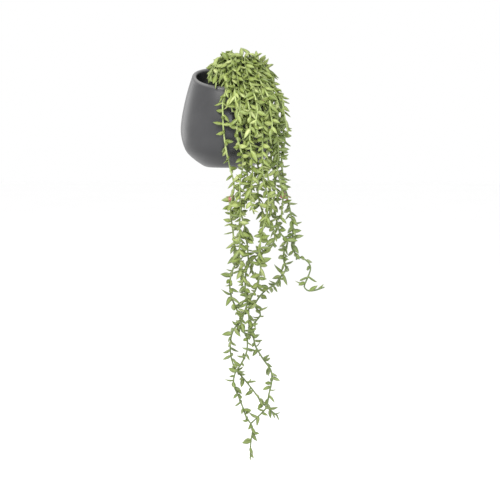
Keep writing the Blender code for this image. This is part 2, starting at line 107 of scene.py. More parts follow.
def beyond(x, n, z):
    """How far spots lie outside the pot's outer face, level and negative inside, and the way out."""
    r = radius(z)
    cx = np.sqrt((r - CORNER) ** 2 - (BACK - CORNER) ** 2)
    beside = np.sign(x) * np.maximum(np.abs(x) - cx, 0)
    corner = np.stack([beside, np.minimum(n + BACK - CORNER, 0), 0 * x], axis=1)
    round_side = np.stack([x, n, 0 * x], axis=1)
    off_round = np.linalg.norm(round_side, axis=1) - r
    off_corner = np.linalg.norm(corner, axis=1) - CORNER
    behind = off_corner > off_round
    way = np.where(behind[:, None], corner, round_side)
    way /= np.maximum(np.linalg.norm(way, axis=1, keepdims=True), 1e-6)
    return np.where(behind, off_corner, off_round), way


print("pot", 2 * PROFILE[:, 1].max(), "mm wide, back rim", round(mouth_z(-BACK), 1), "mm high")

# %% [markdown]
# The camera stands almost level with the pot and far off, so the pot's base shows as a nearly straight
# line and the long stems hardly shrink towards their tips. A long lens from 2.2 m does that.

# %% Camera
CAMERA_AT_MM = 2200.0
FIELD_MM = 700.0  # width of the picture at the pot's axis
SENSOR_MM = 36.0
CAMERA_UP = math.radians(5.5)
LOOK_AT = (29.4, 0, -115.5)
target = Vector(place(LOOK_AT)[0])
bpy.ops.object.camera_add()
camera = bpy.context.object
camera.name = "camera"
camera.data.sensor_width = SENSOR_MM
camera.data.lens = SENSOR_MM * CAMERA_AT_MM / FIELD_MM
away = Vector((0, -math.cos(CAMERA_UP), math.sin(CAMERA_UP))) * CAMERA_AT_MM * MM
camera.location = target + away
camera.rotation_euler = (-away).to_track_quat("-Z", "Y").to_euler()
bpy.context.scene.camera = camera
print("camera at", [round(v, 3) for v in camera.location], "lens", round(camera.data.lens, 1))

# %% [markdown]
# The light is a plain studio: a white surround that fills every shade, one large soft panel above and
# to the left that gives the leaves their bright tops, a faint one behind at the left that lifts the
# pot's edge, and a small one at the right, near the camera, that leaves a soft bluish glint on the
# belly of the pot. The floor is pale and well below the longest stem.

# %% Floor, surround and lamps
FLOOR_WIDE, FLOOR_DROP = 14.0, 0.10
bpy.ops.mesh.primitive_plane_add(size=FLOOR_WIDE, location=(0, 2, cad_low.z - FLOOR_DROP))
floor = bpy.context.object
floor.name = "floor"
bpy.ops.object.transform_apply(location=True, rotation=False, scale=False)

surround = bpy.data.worlds.new("white_surround")
bpy.context.scene.world = surround
surround.use_nodes = True
background = surround.node_tree.nodes["Background"]
background.inputs["Color"].default_value = (1.0, 1.0, 1.0, 1)
background.inputs["Strength"].default_value = 1.0
bpy.context.scene.view_settings.view_transform = "Standard"


def panel(name, at, aim, size, watts, colour):
    """A square soft panel that faces a point."""
    bpy.ops.object.light_add(type="AREA", location=at)
    lamp = bpy.context.object
    lamp.name = name
    lamp.data.size = size
    lamp.data.energy = watts
    lamp.data.color = colour
    lamp.rotation_euler = (Vector(at) - Vector(aim)).to_track_quat("Z", "Y").to_euler()


panel("key_panel", at=(-0.6, -1.35, 1.38), aim=(0.02, -0.08, -0.1),
      size=0.8, watts=35, colour=(1.0, 0.985, 0.96))
panel("side_panel", at=(-1.0, 0.8, 0.05), aim=(-0.03, -0.05, 0.0),
      size=0.7, watts=3, colour=(1.0, 1.0, 1.0))
panel("glint_panel", at=(0.3, -1.5, 0.35), aim=(0.01, -0.09, 0.0),
      size=0.2, watts=8.5, colour=(0.80, 0.87, 1.0))

# %% [markdown]
# A finish is a small sum of masks and colours. Wired node by node it is hard to read, so one class
# wraps a socket and lets plain arithmetic add the Math nodes, and one method adds every other kind.

# %% Finishes as arithmetic
class Wire:
    """A shader socket that can be added, subtracted and multiplied like a number."""

    def __init__(self, tree, socket):
        self.tree = tree
        self.socket = socket

    def math(self, operation, *values):
        node = self.tree.nodes.new("ShaderNodeMath")
        node.operation = operation
        for socket, value in zip(node.inputs, values):
            feed(self.tree, socket, value)
        return Wire(self.tree, node.outputs[0])

    def __add__(self, other):
        return self.math("ADD", self, other)

    def __radd__(self, other):
        return self.math("ADD", other, self)

    def __sub__(self, other):
        return self.math("SUBTRACT", self, other)

    def __rsub__(self, other):
        return self.math("SUBTRACT", other, self)

    def __mul__(self, other):
        return self.math("MULTIPLY", self, other)

    def __rmul__(self, other):
        return self.math("MULTIPLY", other, self)

    def clamp(self):
        return self.math("MINIMUM", self.math("MAXIMUM", self, 0.0), 1.0)


def feed(tree, socket, value):
    """Links a wire to a socket, or sets the socket to a plain value."""
    if isinstance(value, Wire):
        tree.links.new(value.socket, socket)
    else:
        socket.default_value = value


class Finish:
    """A new material with one Principled shader, and the nodes that feed it."""

    def __init__(self, name):
        self.material = bpy.data.materials.new(name)
        self.material.use_nodes = True
        self.tree = self.material.node_tree
        self.shader = self.tree.nodes["Principled BSDF"]

    def node(self, kind, settings=(), inputs=(), output=0):
        """Adds a node: its settings first, then the values or links of its sockets."""
        made = self.tree.nodes.new(kind)
        for key, value in dict(settings).items():
            if key == "stops":
                ramp = made.color_ramp
                while len(ramp.elements) < len(value):
                    ramp.elements.new(1.0)
                for element, (spot, colour) in zip(ramp.elements, value):
                    element.position = spot
                    element.color = (*colour, 1)
            else:
                setattr(made, key, value)
        for key, value in dict(inputs).items():
            feed(self.tree, made.inputs[key], value)
        return Wire(self.tree, made.outputs[output])

    def spots(self):
        return self.node("ShaderNodeTexCoord", output="Object")

    def noise(self, where, scale, detail=3.0, rough=0.55):
        return self.node("ShaderNodeTexNoise", {},
                         {"Vector": where, "Scale": scale, "Detail": detail, "Roughness": rough})

    def attribute(self, name):
        return self.node("ShaderNodeAttribute", {"attribute_name": name}, output="Fac")

    def ramp(self, value, stops):
        return self.node("ShaderNodeValToRGB", {"stops": stops}, {"Fac": value})

    def blend(self, share, first, second):
        """Colour blend. Factor, A and B are the Mix node's colour sockets."""
        node = self.tree.nodes.new("ShaderNodeMix")
        node.data_type = "RGBA"
        for index, value in ((0, share), (6, first), (7, second)):
            if isinstance(value, tuple):
                value = (*value[:3], 1)
            feed(self.tree, node.inputs[index], value)
        return Wire(self.tree, node.outputs[2])

    def step(self, value, start, end):
        """0 up to the start, 1 from the end on, and smooth between. The start may be the larger."""
        return self.node("ShaderNodeMapRange", {"interpolation_type": "SMOOTHSTEP"},
                         {"Value": value, "From Min": start, "From Max": end})

    def bump(self, height, strength, distance):
        normal = self.node("ShaderNodeBump", {},
                           {"Height": height, "Strength": strength, "Distance": distance})
        feed(self.tree, self.shader.inputs["Normal"], normal)

    def set(self, **values):
        for key, value in values.items():
            feed(self.tree, self.shader.inputs[key.replace("_", " ").title()], value)
        return self.material


def screen(red, green, blue):
    """A colour read off a screen, 0 to 255, as the linear numbers that shaders use."""
    return tuple((c / 255 / 12.92) if c < 10.3 else ((c / 255 + 0.055) / 1.055) ** 2.4
                 for c in (red, green, blue))


print("a screen's middle grey is", round(screen(128, 128, 128)[0], 3))

# %% [markdown]
# The glaze is a satin dark grey, a little lighter where it thins over the lip and the edge of the base.
# It is darker low down and inside the mouth, painted shade where little light reaches. It isn't
# perfectly even: very faint clouds in the colour, a fine tooth under the sheen, and soft variation in
# how sharply it mirrors the room. All are driven by the place on the pot.

# %% Glaze
LOW_SHADE_FROM, LOW_SHADE_TO = 42.0, 2.0  # heights between which painted shade darkens the glaze towards the base


def make_glaze():
    glaze = Finish("pot_grey")
    spots = glaze.spots()
    clouds = glaze.noise(spots, 14.0, 4.0)
    speck = glaze.noise(spots, 900.0, 2.0)
    tooth = glaze.noise(spots, 420.0, 3.0)
    height = glaze.node("ShaderNodeSeparateXYZ", {}, {"Vector": spots}, output="Z")
    thin, within = glaze.attribute("thin_glaze"), glaze.attribute("within")
    body = glaze.ramp(clouds, [(0.3, screen(54, 54, 55)), (0.7, screen(64, 64, 65))])
    # Painted shade: the glaze is darker towards the base, under the belly of the pot.
    low = glaze.step(height, (LOW_SHADE_FROM - ORIGIN_Z) * MM, (LOW_SHADE_TO - ORIGIN_Z) * MM)
    colour = glaze.blend(thin * 0.46, body, screen(136, 135, 134))
    colour = glaze.blend(low * 0.6, colour, screen(34, 34, 35))
    colour = glaze.blend(glaze.step(speck, 0.72, 0.8) * 0.18, colour, screen(30, 30, 31))
    # Painted shade inside the mouth of the pot.
    colour = glaze.blend(within * 0.85, colour, screen(33, 33, 34))
    glaze.bump(tooth * 0.7 + clouds * 0.3, 0.10, 0.0006)
    glaze.shader.inputs["Specular IOR Level"].default_value = 0.28
    return glaze.set(base_color=colour, roughness=0.29 + clouds * 0.12,
                     coat_weight=0.04, coat_roughness=0.2)


glaze_finish = make_glaze()
print("made", glaze_finish.name)

# %% [markdown]
# Soil is almost black where it is damp and brown where it has dried, with a broken, crumbly surface.

# %% Soil finish
def make_soil():
    soil = Finish("soil_brown")
    spots = soil.spots()
    lumps = soil.noise(spots, 130.0, 5.0, 0.65)
    grain = soil.noise(spots, 700.0, 4.0, 0.7)
    colour = soil.ramp(lumps, [(0.28, screen(28, 22, 18)), (0.5, screen(54, 42, 32)),
                               (0.74, screen(92, 74, 56))])
    colour = soil.blend(soil.step(grain, 0.62, 0.75) * 0.5, colour, screen(120, 100, 78))
    soil.bump(lumps * 0.6 + grain * 0.4, 0.8, 0.0012)
    return soil.set(base_color=colour, roughness=0.88 + grain * 0.1)


soil_finish = make_soil()
print("made", soil_finish.name)

# %% [markdown]
# The leaves are waxy and a fresh yellow green. Each leaf has its own tone, and young ones near a tip are
# paler and yellower. Those on the right and low down are a cooler, darker green, partly painted shade,
# and painted shade darkens the green low down and on the crown's top. Along a leaf the foot is paler and
# a few feet blush pink; the tip half and the edges are darker with painted shade, and a painted highlight
# makes the middle a brighter green. Stems are a paler, greyer green, darkened by the same painted shade.
# The numbers that say so are stored on every point of a strand: its tone, its age, how much cooler green
# and how much painted shade it gets, whether it is a leaf and blushes, and how far along and across the
# leaf it lies.

# %% Leaf finish
def make_leaf():
    leafy = Finish("leaf_green")
    spots = leafy.spots()
    tone, age = leafy.attribute("tone"), leafy.attribute("age")
    cool, deep = leafy.attribute("cool"), leafy.attribute("deep")
    is_leaf, blush = leafy.attribute("is_leaf"), leafy.attribute("blush")
    along, across = leafy.attribute("along"), leafy.attribute("across")
    mottle, streaks = leafy.noise(spots, 260.0, 3.0), leafy.noise(spots, 120.0, 3.0)
    green = leafy.ramp(tone, [(0.0, screen(86, 97, 45)), (0.45, screen(130, 142, 74)),
                              (0.8, screen(162, 172, 101)), (1.0, screen(192, 199, 135))])
    # Painted shade: a darker green low down and on the crown's top.
    green = leafy.blend(deep * 0.75, green, screen(84, 97, 49))
    # Partly painted shade: a cooler green that is also darker, to the right and low down.
    green = leafy.blend(cool * 0.5, green, screen(86, 105, 68))
    green = leafy.blend(leafy.step(age, 0.8, 1.0) * 0.15, green, screen(176, 186, 108))
    green = leafy.blend(leafy.step(along, 0.24, 0.0) * 0.5, green, screen(200, 206, 142))
    # Painted shade: the tip half of each leaf is darker.
    green = leafy.blend(leafy.step(along, 0.4, 1.0) * 0.5, green, screen(92, 104, 46))
    # Painted highlight: a brighter green along the middle of each leaf.
    green = leafy.blend((1.0 - leafy.step(across, 0.0, 0.28)) * 0.3, green, screen(130, 156, 62))
    green = leafy.blend(mottle * 0.22, green, screen(128, 152, 60))
    # Painted shade: each leaf is darker towards its edges.
    green = leafy.blend(leafy.step(across, 0.4, 1.0) * 0.45, green, screen(70, 84, 32))
    green = leafy.blend(blush * leafy.step(along, 0.5, 0.1), green, screen(200, 108, 130))
    stem = leafy.ramp(streaks, [(0.3, screen(138, 154, 84)), (0.7, screen(172, 184, 120))])
    # Painted shade on the stems too: darker low down and on the crown's top, and cooler and darker to the
    # right.
    stem = leafy.blend((deep * 1.7).clamp() * 0.8, stem, screen(78, 92, 46))
    stem = leafy.blend(cool * 0.6, stem, screen(88, 106, 66))
    stem = leafy.blend(leafy.step(age, 0.12, 0.0) * 0.6, stem, screen(122, 108, 66))
    colour = leafy.blend(is_leaf, stem, green)
    leafy.bump(mottle, 0.12, 0.0004)
    return leafy.set(base_color=colour, roughness=0.35 + mottle * 0.14 + (1.0 - is_leaf) * 0.2)


leaf_finish = make_leaf()
print("made", leaf_finish.name)

# %% [markdown]
# The floor is plain, pale and matt, so that nothing on it draws the eye from the plant.

# %% Floor finish
def make_pale():
    pale = Finish("pale_floor")
    even = pale.ramp(pale.noise(pale.spots(), 3.0), [(0.0, (0.98, 0.98, 0.98)), (1.0, (1.0, 1.0, 1.0))])
    return pale.set(base_color=even, roughness=0.9)


floor.data.materials.append(make_pale())
print("floor lies", round(cad_low.z - FLOOR_DROP, 3), "m from the origin")

# %% [markdown]
# The pot is thrown round and then flattened at the back, so its plan is a D with rounded corners. It
# could be a turned shape cut with a plane, but then the lip would end in a sharp edge. Here the outline
# is one loop of points that is extruded level by level, up the outside, over the lip and down the
# inside. Every level takes the radius of its own height, and levels tilt more and more towards the
# slanted mouth.

# %% Outline and levels
ARC_SIDES, CORNER_SIDES, BACK_SIDES = 96, 9, 14
LEVEL_POINTS = ARC_SIDES + BACK_SIDES + 2 * CORNER_SIDES
SETTLE_ROUNDS = 6


def catmull_rom(points):
    """Ten spots on each piece of a smooth curve that passes through all the points."""
    ends = np.vstack([2 * points[0] - points[1], points, 2 * points[-1] - points[-2]])
    fine = []
    for a, b, c, d in zip(ends[:-3], ends[1:-2], ends[2:-1], ends[3:]):
        for t in np.arange(0, 1, 0.1):
            fine.append(0.5 * (2 * b + (c - a) * t + (2 * a - 5 * b + 4 * c - d) * t ** 2
                               + (3 * b - a - 3 * c + d) * t ** 3))
    return np.array(fine)


FINE_PROFILE = catmull_rom(PROFILE[1:-1])


def fine_radius(z):
    """Outer radius at a height, on the smooth curve."""
    return np.interp(z, FINE_PROFILE[:, 0], FINE_PROFILE[:, 1])


def d_outline(r, inset):
    """Rounded D in plan as (x, b), b towards the wall: front arc, left corner, back, right corner."""
    r, back, corner = r - inset, BACK - inset, CORNER - inset
    cx = math.sqrt((r - corner) ** 2 - (back - corner) ** 2)
    turn = math.atan2(back - corner, cx)
    spots = []
    for i in range(ARC_SIDES):
        a = turn - (math.pi + 2 * turn) * i / ARC_SIDES
        spots.append((r * math.cos(a), r * math.sin(a)))
    for i in range(CORNER_SIDES):
        a = math.pi - turn + (turn - math.pi / 2) * i / CORNER_SIDES
        spots.append((-cx + corner * math.cos(a), back - corner + corner * math.sin(a)))
    for i in range(BACK_SIDES):
        spots.append((-cx + 2 * cx * i / BACK_SIDES, back))
    for i in range(CORNER_SIDES):
        a = math.pi / 2 + (turn - math.pi / 2) * i / CORNER_SIDES
        spots.append((cx + corner * math.cos(a), back - corner + corner * math.sin(a)))
    return np.array(spots)


def slant_at(z):
    """How steeply a level tilts, from not at all to the slope of the mouth."""
    t = share_between(z, SLANT_FROM, MOUTH_Z)
    return SLANT * t * t * (3 - 2 * t)


def level(z, inset, rise=0.0, slant=None):
    """One loop round the pot at a height, inset from its outside.

    On a tilted level the height of a point hangs on its place and its place on the radius at that
    height, so both are worked out again until they settle.
    """
    slant = slant_at(z) if slant is None else slant
    here = np.full(LEVEL_POINTS, float(z))
    for _ in range(SETTLE_ROUNDS):
        spots = np.array([d_outline(r, inset)[i] for i, r in enumerate(fine_radius(here))])
        here = z + slant * spots[:, 1]
    return np.column_stack([spots[:, 0], -spots[:, 1], here + rise])


print("points in a level:", LEVEL_POINTS)

# %% [markdown]
# Extruding copies every number stored on a point, so the first loop is numbered once, and after each
# extrusion the new points find their places by that number.

# %% Extruding a shell level by level
def select_only(*pieces):
    """Selects these pieces and nothing else. The first becomes the active one."""
    for made in bpy.context.selected_objects:
        made.select_set(False)
    for piece in pieces:
        piece.select_set(True)
    if pieces:
        bpy.context.view_layer.objects.active = pieces[0]


def shell(name, levels):
    """A closed shape: a filled first level, then one extrusion for each level after it."""
    select_only()
    bpy.ops.mesh.primitive_circle_add(vertices=len(levels[0]), radius=0.05, fill_type="NGON")
    made = bpy.context.object
    made.name = made.data.name = name
    bpy.ops.object.mode_set(mode="EDIT")
    work = bmesh.from_edit_mesh(made.data)
    number = work.verts.layers.int.new("number")
    work.verts.ensure_lookup_table()
    for i, vertex in enumerate(work.verts):
        vertex[number] = i
    first = place(levels[0])
    for vertex in work.verts:
        vertex.co = first[vertex[number]]
    ring = list(work.edges)
    for one in levels[1:]:
        bpy.ops.mesh.select_all(action="DESELECT")
        for edge in ring:
            edge.select = True
        bpy.ops.mesh.extrude_edges_move()
        work = bmesh.from_edit_mesh(made.data)
        number = work.verts.layers.int["number"]
        spots = place(one)
        for vertex in work.verts:
            if vertex.select:
                vertex.co = spots[vertex[number]]
        ring = [edge for edge in work.edges if edge.select]
    bpy.ops.mesh.edge_face_add()
    bpy.ops.mesh.select_all(action="SELECT")
    bpy.ops.mesh.normals_make_consistent(inside=False)
    bpy.ops.object.mode_set(mode="OBJECT")
    return made


def rows_between(low, high, step):
    return list(np.linspace(low, high, max(2, int(round(abs(high - low) / step)) + 1)))


LIP_HALF, LIP_FOOT = WALL / 2, MOUTH_Z - WALL / 2
outside = [0.0, 0.5, 1.4, 3.0, 5.0] + rows_between(7, LIP_FOOT, 3.0)
inside = rows_between(LIP_FOOT - 3, 11, 4.0)
pot_levels = [level(z, 0.0) for z in outside]
for turn in range(15, 181, 15):
    a = math.radians(turn)
    pot_levels.append(level(LIP_FOOT, LIP_HALF * (1 - math.cos(a)), LIP_HALF * math.sin(a)))
pot_levels += [level(z, WALL) for z in inside]
pot_levels.append(level(FLOOR_Z, WALL + FLOOR_INSET))
pot = shell("pot_shell", pot_levels)
print(pot.name, len(pot.data.polygons), "faces in", len(pot_levels), "levels")

# %% [markdown]
# The pot hangs on one screw. A round hole lets the head in and the narrow slot above it holds the neck.
# A drill and a saw would make the same cut: a round rod, a narrow bar and a thin rod for the slot's
# round end are taken away from the back wall.

# %% Keyhole
CUT_DEEP = 0.02  # longer than the wall is thick


def in_back_wall(z):
    return 0, -WALL * MM / 2, (z - ORIGIN_Z) * MM


def cut_away(piece, tool):
    modifier = piece.modifiers.new("cut", "BOOLEAN")
    modifier.object = tool
    modifier.solver = "EXACT"
    select_only(piece)
    bpy.ops.object.modifier_apply(modifier="cut")
    bpy.data.objects.remove(tool)


def rod(r, z, sides):
    select_only()
    bpy.ops.mesh.primitive_cylinder_add(vertices=sides, radius=r * MM, depth=CUT_DEEP,
                                        location=in_back_wall(z), rotation=(math.pi / 2, 0, 0))
    return bpy.context.object


cut_away(pot, rod(KEYHOLE_ROUND, KEYHOLE_Z, 40))
cut_away(pot, rod(KEYHOLE_SLOT, KEYHOLE_Z + KEYHOLE_RISE, 32))
select_only()
bpy.ops.mesh.primitive_cube_add(size=1, location=in_back_wall(KEYHOLE_Z + KEYHOLE_RISE / 2))
bar = bpy.context.object
bar.scale = (2 * KEYHOLE_SLOT * MM, CUT_DEEP, KEYHOLE_RISE * MM)
bpy.ops.object.transform_apply(location=False, rotation=False, scale=True)
cut_away(pot, bar)
print("faces after the keyhole:", len(pot.data.polygons))

# %% [markdown]
# Where a glaze runs over an edge it thins and the paler clay shows through. That is stored on the
# points of the lip and of the base's edge as a number from 0 to 1, which the finish reads. A second
# number says which points lie inside the pot, where the finish paints shade into the glaze.

# %% Thin glaze on the edges, and painted shade inside
LIP_BAND, BASE_EDGE_Z, BASE_EDGE_WIDE = 2.2, 2.2, 1.6


def spots_of(mesh):
    """The points of a mesh, back in millimetres from the axis and the base."""
    spots = np.array([v.co for v in mesh.vertices]) / MM
    return np.column_stack([spots[:, 0], -spots[:, 1] - BACK, spots[:, 2] + ORIGIN_Z])


def write_numbers(mesh, numbers):
    for key, values in numbers.items():
        layer = mesh.attributes.new(key, "FLOAT", "POINT")
        layer.data.foreach_set("value", np.asarray(values, np.float32))


def mark_thin_glaze(piece):
    x, n, z = spots_of(piece.data).T
    under_lip = mouth_z(n) - z
    on_lip = np.clip(1 - under_lip / LIP_BAND, 0, 1)
    thin = on_lip + 0.8 * np.exp(-((z - BASE_EDGE_Z) / BASE_EDGE_WIDE) ** 2)
    deep_in = WALL * 0.8
    inside = (fine_radius(z) - np.hypot(x, n) > deep_in) & (n > -BACK + deep_in)
    # The second number marks where the finish paints shade inside the mouth.
    write_numbers(piece.data, {"thin_glaze": np.clip(thin, 0, 1),
                               "within": inside * share_between(under_lip, 1.0, 4.0)})


mark_thin_glaze(pot)
pot.data.materials.append(glaze_finish)
select_only(pot)
bpy.ops.object.shade_smooth_by_angle(angle=math.radians(40))
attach(pot, "root")
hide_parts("pot")
print("pot done")

# %% [markdown]
# Under the leaves lies ordinary potting soil. Its top is a heap a little higher in the middle, uneven
# and crumbly. It is made as the pot is, level by level inside the wall, and the levels then close in
# over the top. Their points are lifted and lowered by a noise so that no two are level.

# %% Soil
INSET = WALL + SOIL_GAP
HEAP, HEAP_RINGS = 2.0, 34  # how much higher the middle is, and in how many rings
LUMPS = ((0.9, 0.11), (0.7, 0.43))  # height of the lumps, and how close together they are
soil_levels = [level(FLOOR_Z + SOIL_GAP, INSET + FLOOR_INSET)]
soil_levels += [level(z, INSET) for z in (14, 22, 34, 48, 62, 76)]
soil_levels.append(level(SOIL_Z, INSET + 0.5, slant=0.0))
edge = soil_levels[-1]
for share in np.linspace(0.97, 0.03, HEAP_RINGS):
    loop = edge.copy()
    loop[:, :2] *= share
    loop[:, 2] = SOIL_Z + HEAP * (1 - share)
    for spot in loop:
        spot[2] += sum(high * noise.noise(Vector(spot) * close) for high, close in LUMPS)
    soil_levels.append(loop)
soil = shell("soil_heap", soil_levels)
print(soil.name, len(soil.data.polygons), "faces")

# %% [markdown]
# Crumbs of bark and grit lie loose on the heap. One crumb is modelled, a rounded stone with a few flat
# sides, and copied with a turn and a size of its own, each sunk a little into the soil.

# %% Crumbs on the soil
CRUMBS = 260


def crumb_model():
    select_only()
    bpy.ops.mesh.primitive_ico_sphere_add(subdivisions=1, radius=1.0)
    crumb = bpy.context.object
    bpy.ops.object.mode_set(mode="EDIT")
    bpy.ops.mesh.select_all(action="SELECT")
    bpy.ops.transform.resize(value=(1.0, 0.75, 0.55))
    bpy.ops.object.mode_set(mode="OBJECT")
    rng = random.Random(SEED + 5)
    for vertex in crumb.data.vertices:
        vertex.co *= rng.uniform(0.85, 1.12)
    return crumb


def scattered_crumbs(count):
    rng = random.Random(SEED + 6)
    model = crumb_model()
    made = []
    for _ in range(count):
        a, far = rng.uniform(0, 2 * math.pi), math.sqrt(rng.random()) * 0.93
        k = int(a / (2 * math.pi) * len(edge))
        x, n = edge[k][0] * far, edge[k][1] * far
        z = SOIL_Z + HEAP * (1 - far) + 0.3
        copy = model.copy()
        copy.data = model.data.copy()
        bpy.context.scene.collection.objects.link(copy)
        size = rng.uniform(0.5, 1.35) * MM
        copy.scale = (size, size, size)
        copy.rotation_euler = (rng.uniform(0, 0.6), rng.uniform(0, 0.6), rng.uniform(0, 6.28))
        copy.location = place((x, n, z))[0]
        made.append(copy)
    bpy.data.objects.remove(model)
    return made


soil.data.materials.append(soil_finish)
select_only(soil, *scattered_crumbs(CRUMBS))
bpy.ops.object.join()
bpy.ops.object.transform_apply(location=True, rotation=True, scale=True)
bpy.ops.object.shade_smooth_by_angle(angle=math.radians(50))
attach(soil, "root")
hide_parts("soil")
print("soil with", CRUMBS, "crumbs,", len(soil.data.polygons), "faces")

# %% [markdown]
# Every strand is a line first. The long ones follow routes of a few named points each, as they hang
# over the front of the pot and below it. The short ones of the crown rise from the soil and arch over
# in layers of one dome. Roots stand in a sunflower pattern in the soil, so they are evenly spaced.
# These are the same rules and the same numbers as in the solids, so the lines come out the same.

# %% The plant's sizes and routes
LINE_STEP, UPRIGHT = 4.0, 4  # spacing of a line's points, and how many of its first steps stand upright
STEM_SAG, LONGEST_PIECE = 0.7, 30.0
STEM_ROOT, STEM_TIP, STEM_SUNK = 1.3, 0.85, 8.3
LEAF_LONG, LEAF_HALF_WIDE, LEAF_HALF_THICK = 13.8, 3.3, 1.6
LEAF_STEP_CROWN, LEAF_STEP_TRAIL = 8.6, 12.0
SPIRAL, ROOT_SPIRAL = 137.5, 137.508  # degrees from one leaf to the next, and from root to root
CROWN_STRANDS = 17
CROWN_WIDE, CROWN_DEEP, CROWN_LAYERS = 48, 26, (1.0, 0.76, 0.94, 0.58)
ROOTS_AT, ROOTS_WIDE, ROOTS_DEEP = (19.0, 8.0), 25.0, 21.0
CROWN_AT, CROWN_PEAK = (17.0, 12.0), (12.0, 12.0)
CROWN_TOP, CROWN_FALL, CROWN_REACH = 165.0, 38.0, 50.0
LIGHT_FROM = (18.0, 20.0)

# Each trailing strand: how far in front of the axis it hangs, then (x, z) down its visible length.
TRAILS = {
    "v1": (71, [(-3, 103), (-7, 91), (-7, 72), (-6, 50), (-2, 22), (3, 0), (8, -21), (5, -39), (3, -61),
                (6, -81), (8, -103), (13, -120), (6, -136), (2, -154), (4, -173), (12, -193), (17, -208),
                (8, -218), (3, -233), (3, -254), (9, -273), (22, -288), (35, -305), (48, -323), (68, -341)]),
    "v2": (79, [(12, 89), (14, 70), (18, 50), (23, 32), (25, 16), (25, -2), (27, -20), (24, -35), (17, -53),
                (20, -69), (24, -85), (26, -107), (27, -126), (23, -144), (23, -165), (26, -181), (20, -200),
                (17, -215), (22, -223), (33, -227), (37, -242), (47, -259), (58, -275), (59, -290),
                (55, -308), (52, -325), (42, -337), (31, -348)]),
    "v3": (84, [(41, 88), (46, 69), (46, 48), (46, 25), (46, 5), (48, -17), (54, -36), (53, -54), (49, -72),
                (44, -89), (43, -105), (41, -119), (44, -132), (41, -147), (37, -163), (30, -175), (27, -191),
                (28, -210), (26, -229), (25, -247), (17, -265), (9, -278), (7, -294), (13, -309), (19, -324),
                (24, -338), (33, -353), (31, -368), (30, -382), (30, -394)]),
    "v4": (42, [(73, 95), (74, 79), (73, 61), (77, 38), (73, 20), (73, 3), (75, -13), (79, -34), (84, -57),
                (88, -76), (88, -96), (87, -109), (95, -121), (108, -128), (113, -138), (109, -151),
                (104, -163), (110, -169), (120, -168), (132, -164)]),
    "v5": (50, [(58, 95), (59, 75), (58, 51), (58, 27), (59, 7), (64, -14), (62, -34), (62, -52), (66, -72),
                (71, -89), (81, -100), (76, -115), (76, -127), (79, -138), (72, -148), (64, -159),
                (51, -167), (41, -178), (36, -189), (44, -200), (37, -211), (30, -222)]),
    "v6": (62, [(35, 91), (39, 76), (38, 61), (33, 44), (36, 24), (40, 6), (42, -14), (40, -32), (44, -51),
                (51, -67), (61, -80), (63, -93), (58, -107), (48, -112), (38, -119), (31, -128), (33, -143)]),
    "v7": (86, [(16, 85), (14, 69), (13, 44), (17, 27), (20, 14), (19, -1), (16, -17), (16, -36), (17, -56),
                (15, -75), (16, -95), (15, -112), (17, -128), (21, -143), (19, -158)]),
    "m3": (75, [(51, 89), (53, 70), (52, 49), (52, 24), (52, 5), (54, -13), (57, -31), (58, -49), (56, -65)]),
    "m4": (62, [(66, 93), (67, 74), (66, 50), (68, 25), (66, 4), (70, -17), (74, -35), (73, -52), (72, -69)]),
    "m6": (91, [(28, 84), (30, 64), (29, 44), (31, 24), (32, 4), (33, -12), (30, -28), (31, -44), (35, -59)]),
    "s1": (78, [(4, 100), (4, 89), (6, 77)]),
    "s2": (85, [(10, 98), (11, 84), (15, 71), (16, 62)]),
    "s3": (75, [(23, 97), (23, 81), (24, 65), (25, 52)]),
    "s4": (93, [(37, 94), (39, 78), (37, 62), (40, 46)]),
    "s5": (83, [(54, 96), (56, 80), (59, 61), (56, 42)]),
    "s6": (60, [(70, 91), (75, 74), (78, 61), (81, 50)]),
    "s7": (78, [(46, 100), (49, 86), (51, 70), (48, 54)]),
    "s8": (55, [(62, 99), (64, 83), (64, 64), (66, 45), (65, 29), (63, 15)]),
}

print(len(TRAILS), "trailing strands and", CROWN_STRANDS, "in the crown")

# %% [markdown]
# A line is smoothed with a Catmull-Rom curve, which passes through every point it is given, and is then
# cut into even steps. For the solids each line was thinned to the fewest straight pieces that stay
# close to it, and the leaves stand on those, so the same thinning is done here.

# %% Smooth and thinned lines
def spline(points):
    """A smooth curve through the points, cut into even steps."""
    points = np.asarray(points, float)
    return resample(np.vstack([catmull_rom(points), points[-1]]), LINE_STEP)


def resample(line, step):
    along = np.concatenate([[0], np.cumsum(np.linalg.norm(np.diff(line, axis=0), axis=1))])
    count = max(3, int(round(along[-1] / step)) + 1)
    at = np.linspace(0, along[-1], count)
    return np.stack([np.interp(at, along, line[:, k]) for k in range(3)], axis=1)


def simplified(line):
    """The fewest of the line's points that keep its pieces within the sag."""
    keep = [0, UPRIGHT, len(line) - 1]
    spans = [(UPRIGHT, len(line) - 1)]
    while spans:
        a, b = spans.pop()
        if b - a < 2:
            continue
        along = line[b] - line[a]
        length = np.linalg.norm(along)
        off = np.linalg.norm(np.cross(line[a + 1:b] - line[a], along), axis=1) / max(length, 1e-6)
        far = a + 1 + int(np.argmax(off))
        if off.max() > STEM_SAG or length > LONGEST_PIECE:
            if off.max() <= STEM_SAG:
                far = (a + b) // 2
            keep.append(far)
            spans += [(a, far), (far, b)]
    return line[sorted(keep)]


def upright(line):
    line[:UPRIGHT + 1, :2] = line[0, :2]
    return line


print("a thinned line keeps within", STEM_SAG, "mm of the smooth one")

# %% [markdown]
# The roots are matched to the places the strands lead to by swapping pairs for as long as that makes
# the ways shorter, so that few strands cross as they rise.

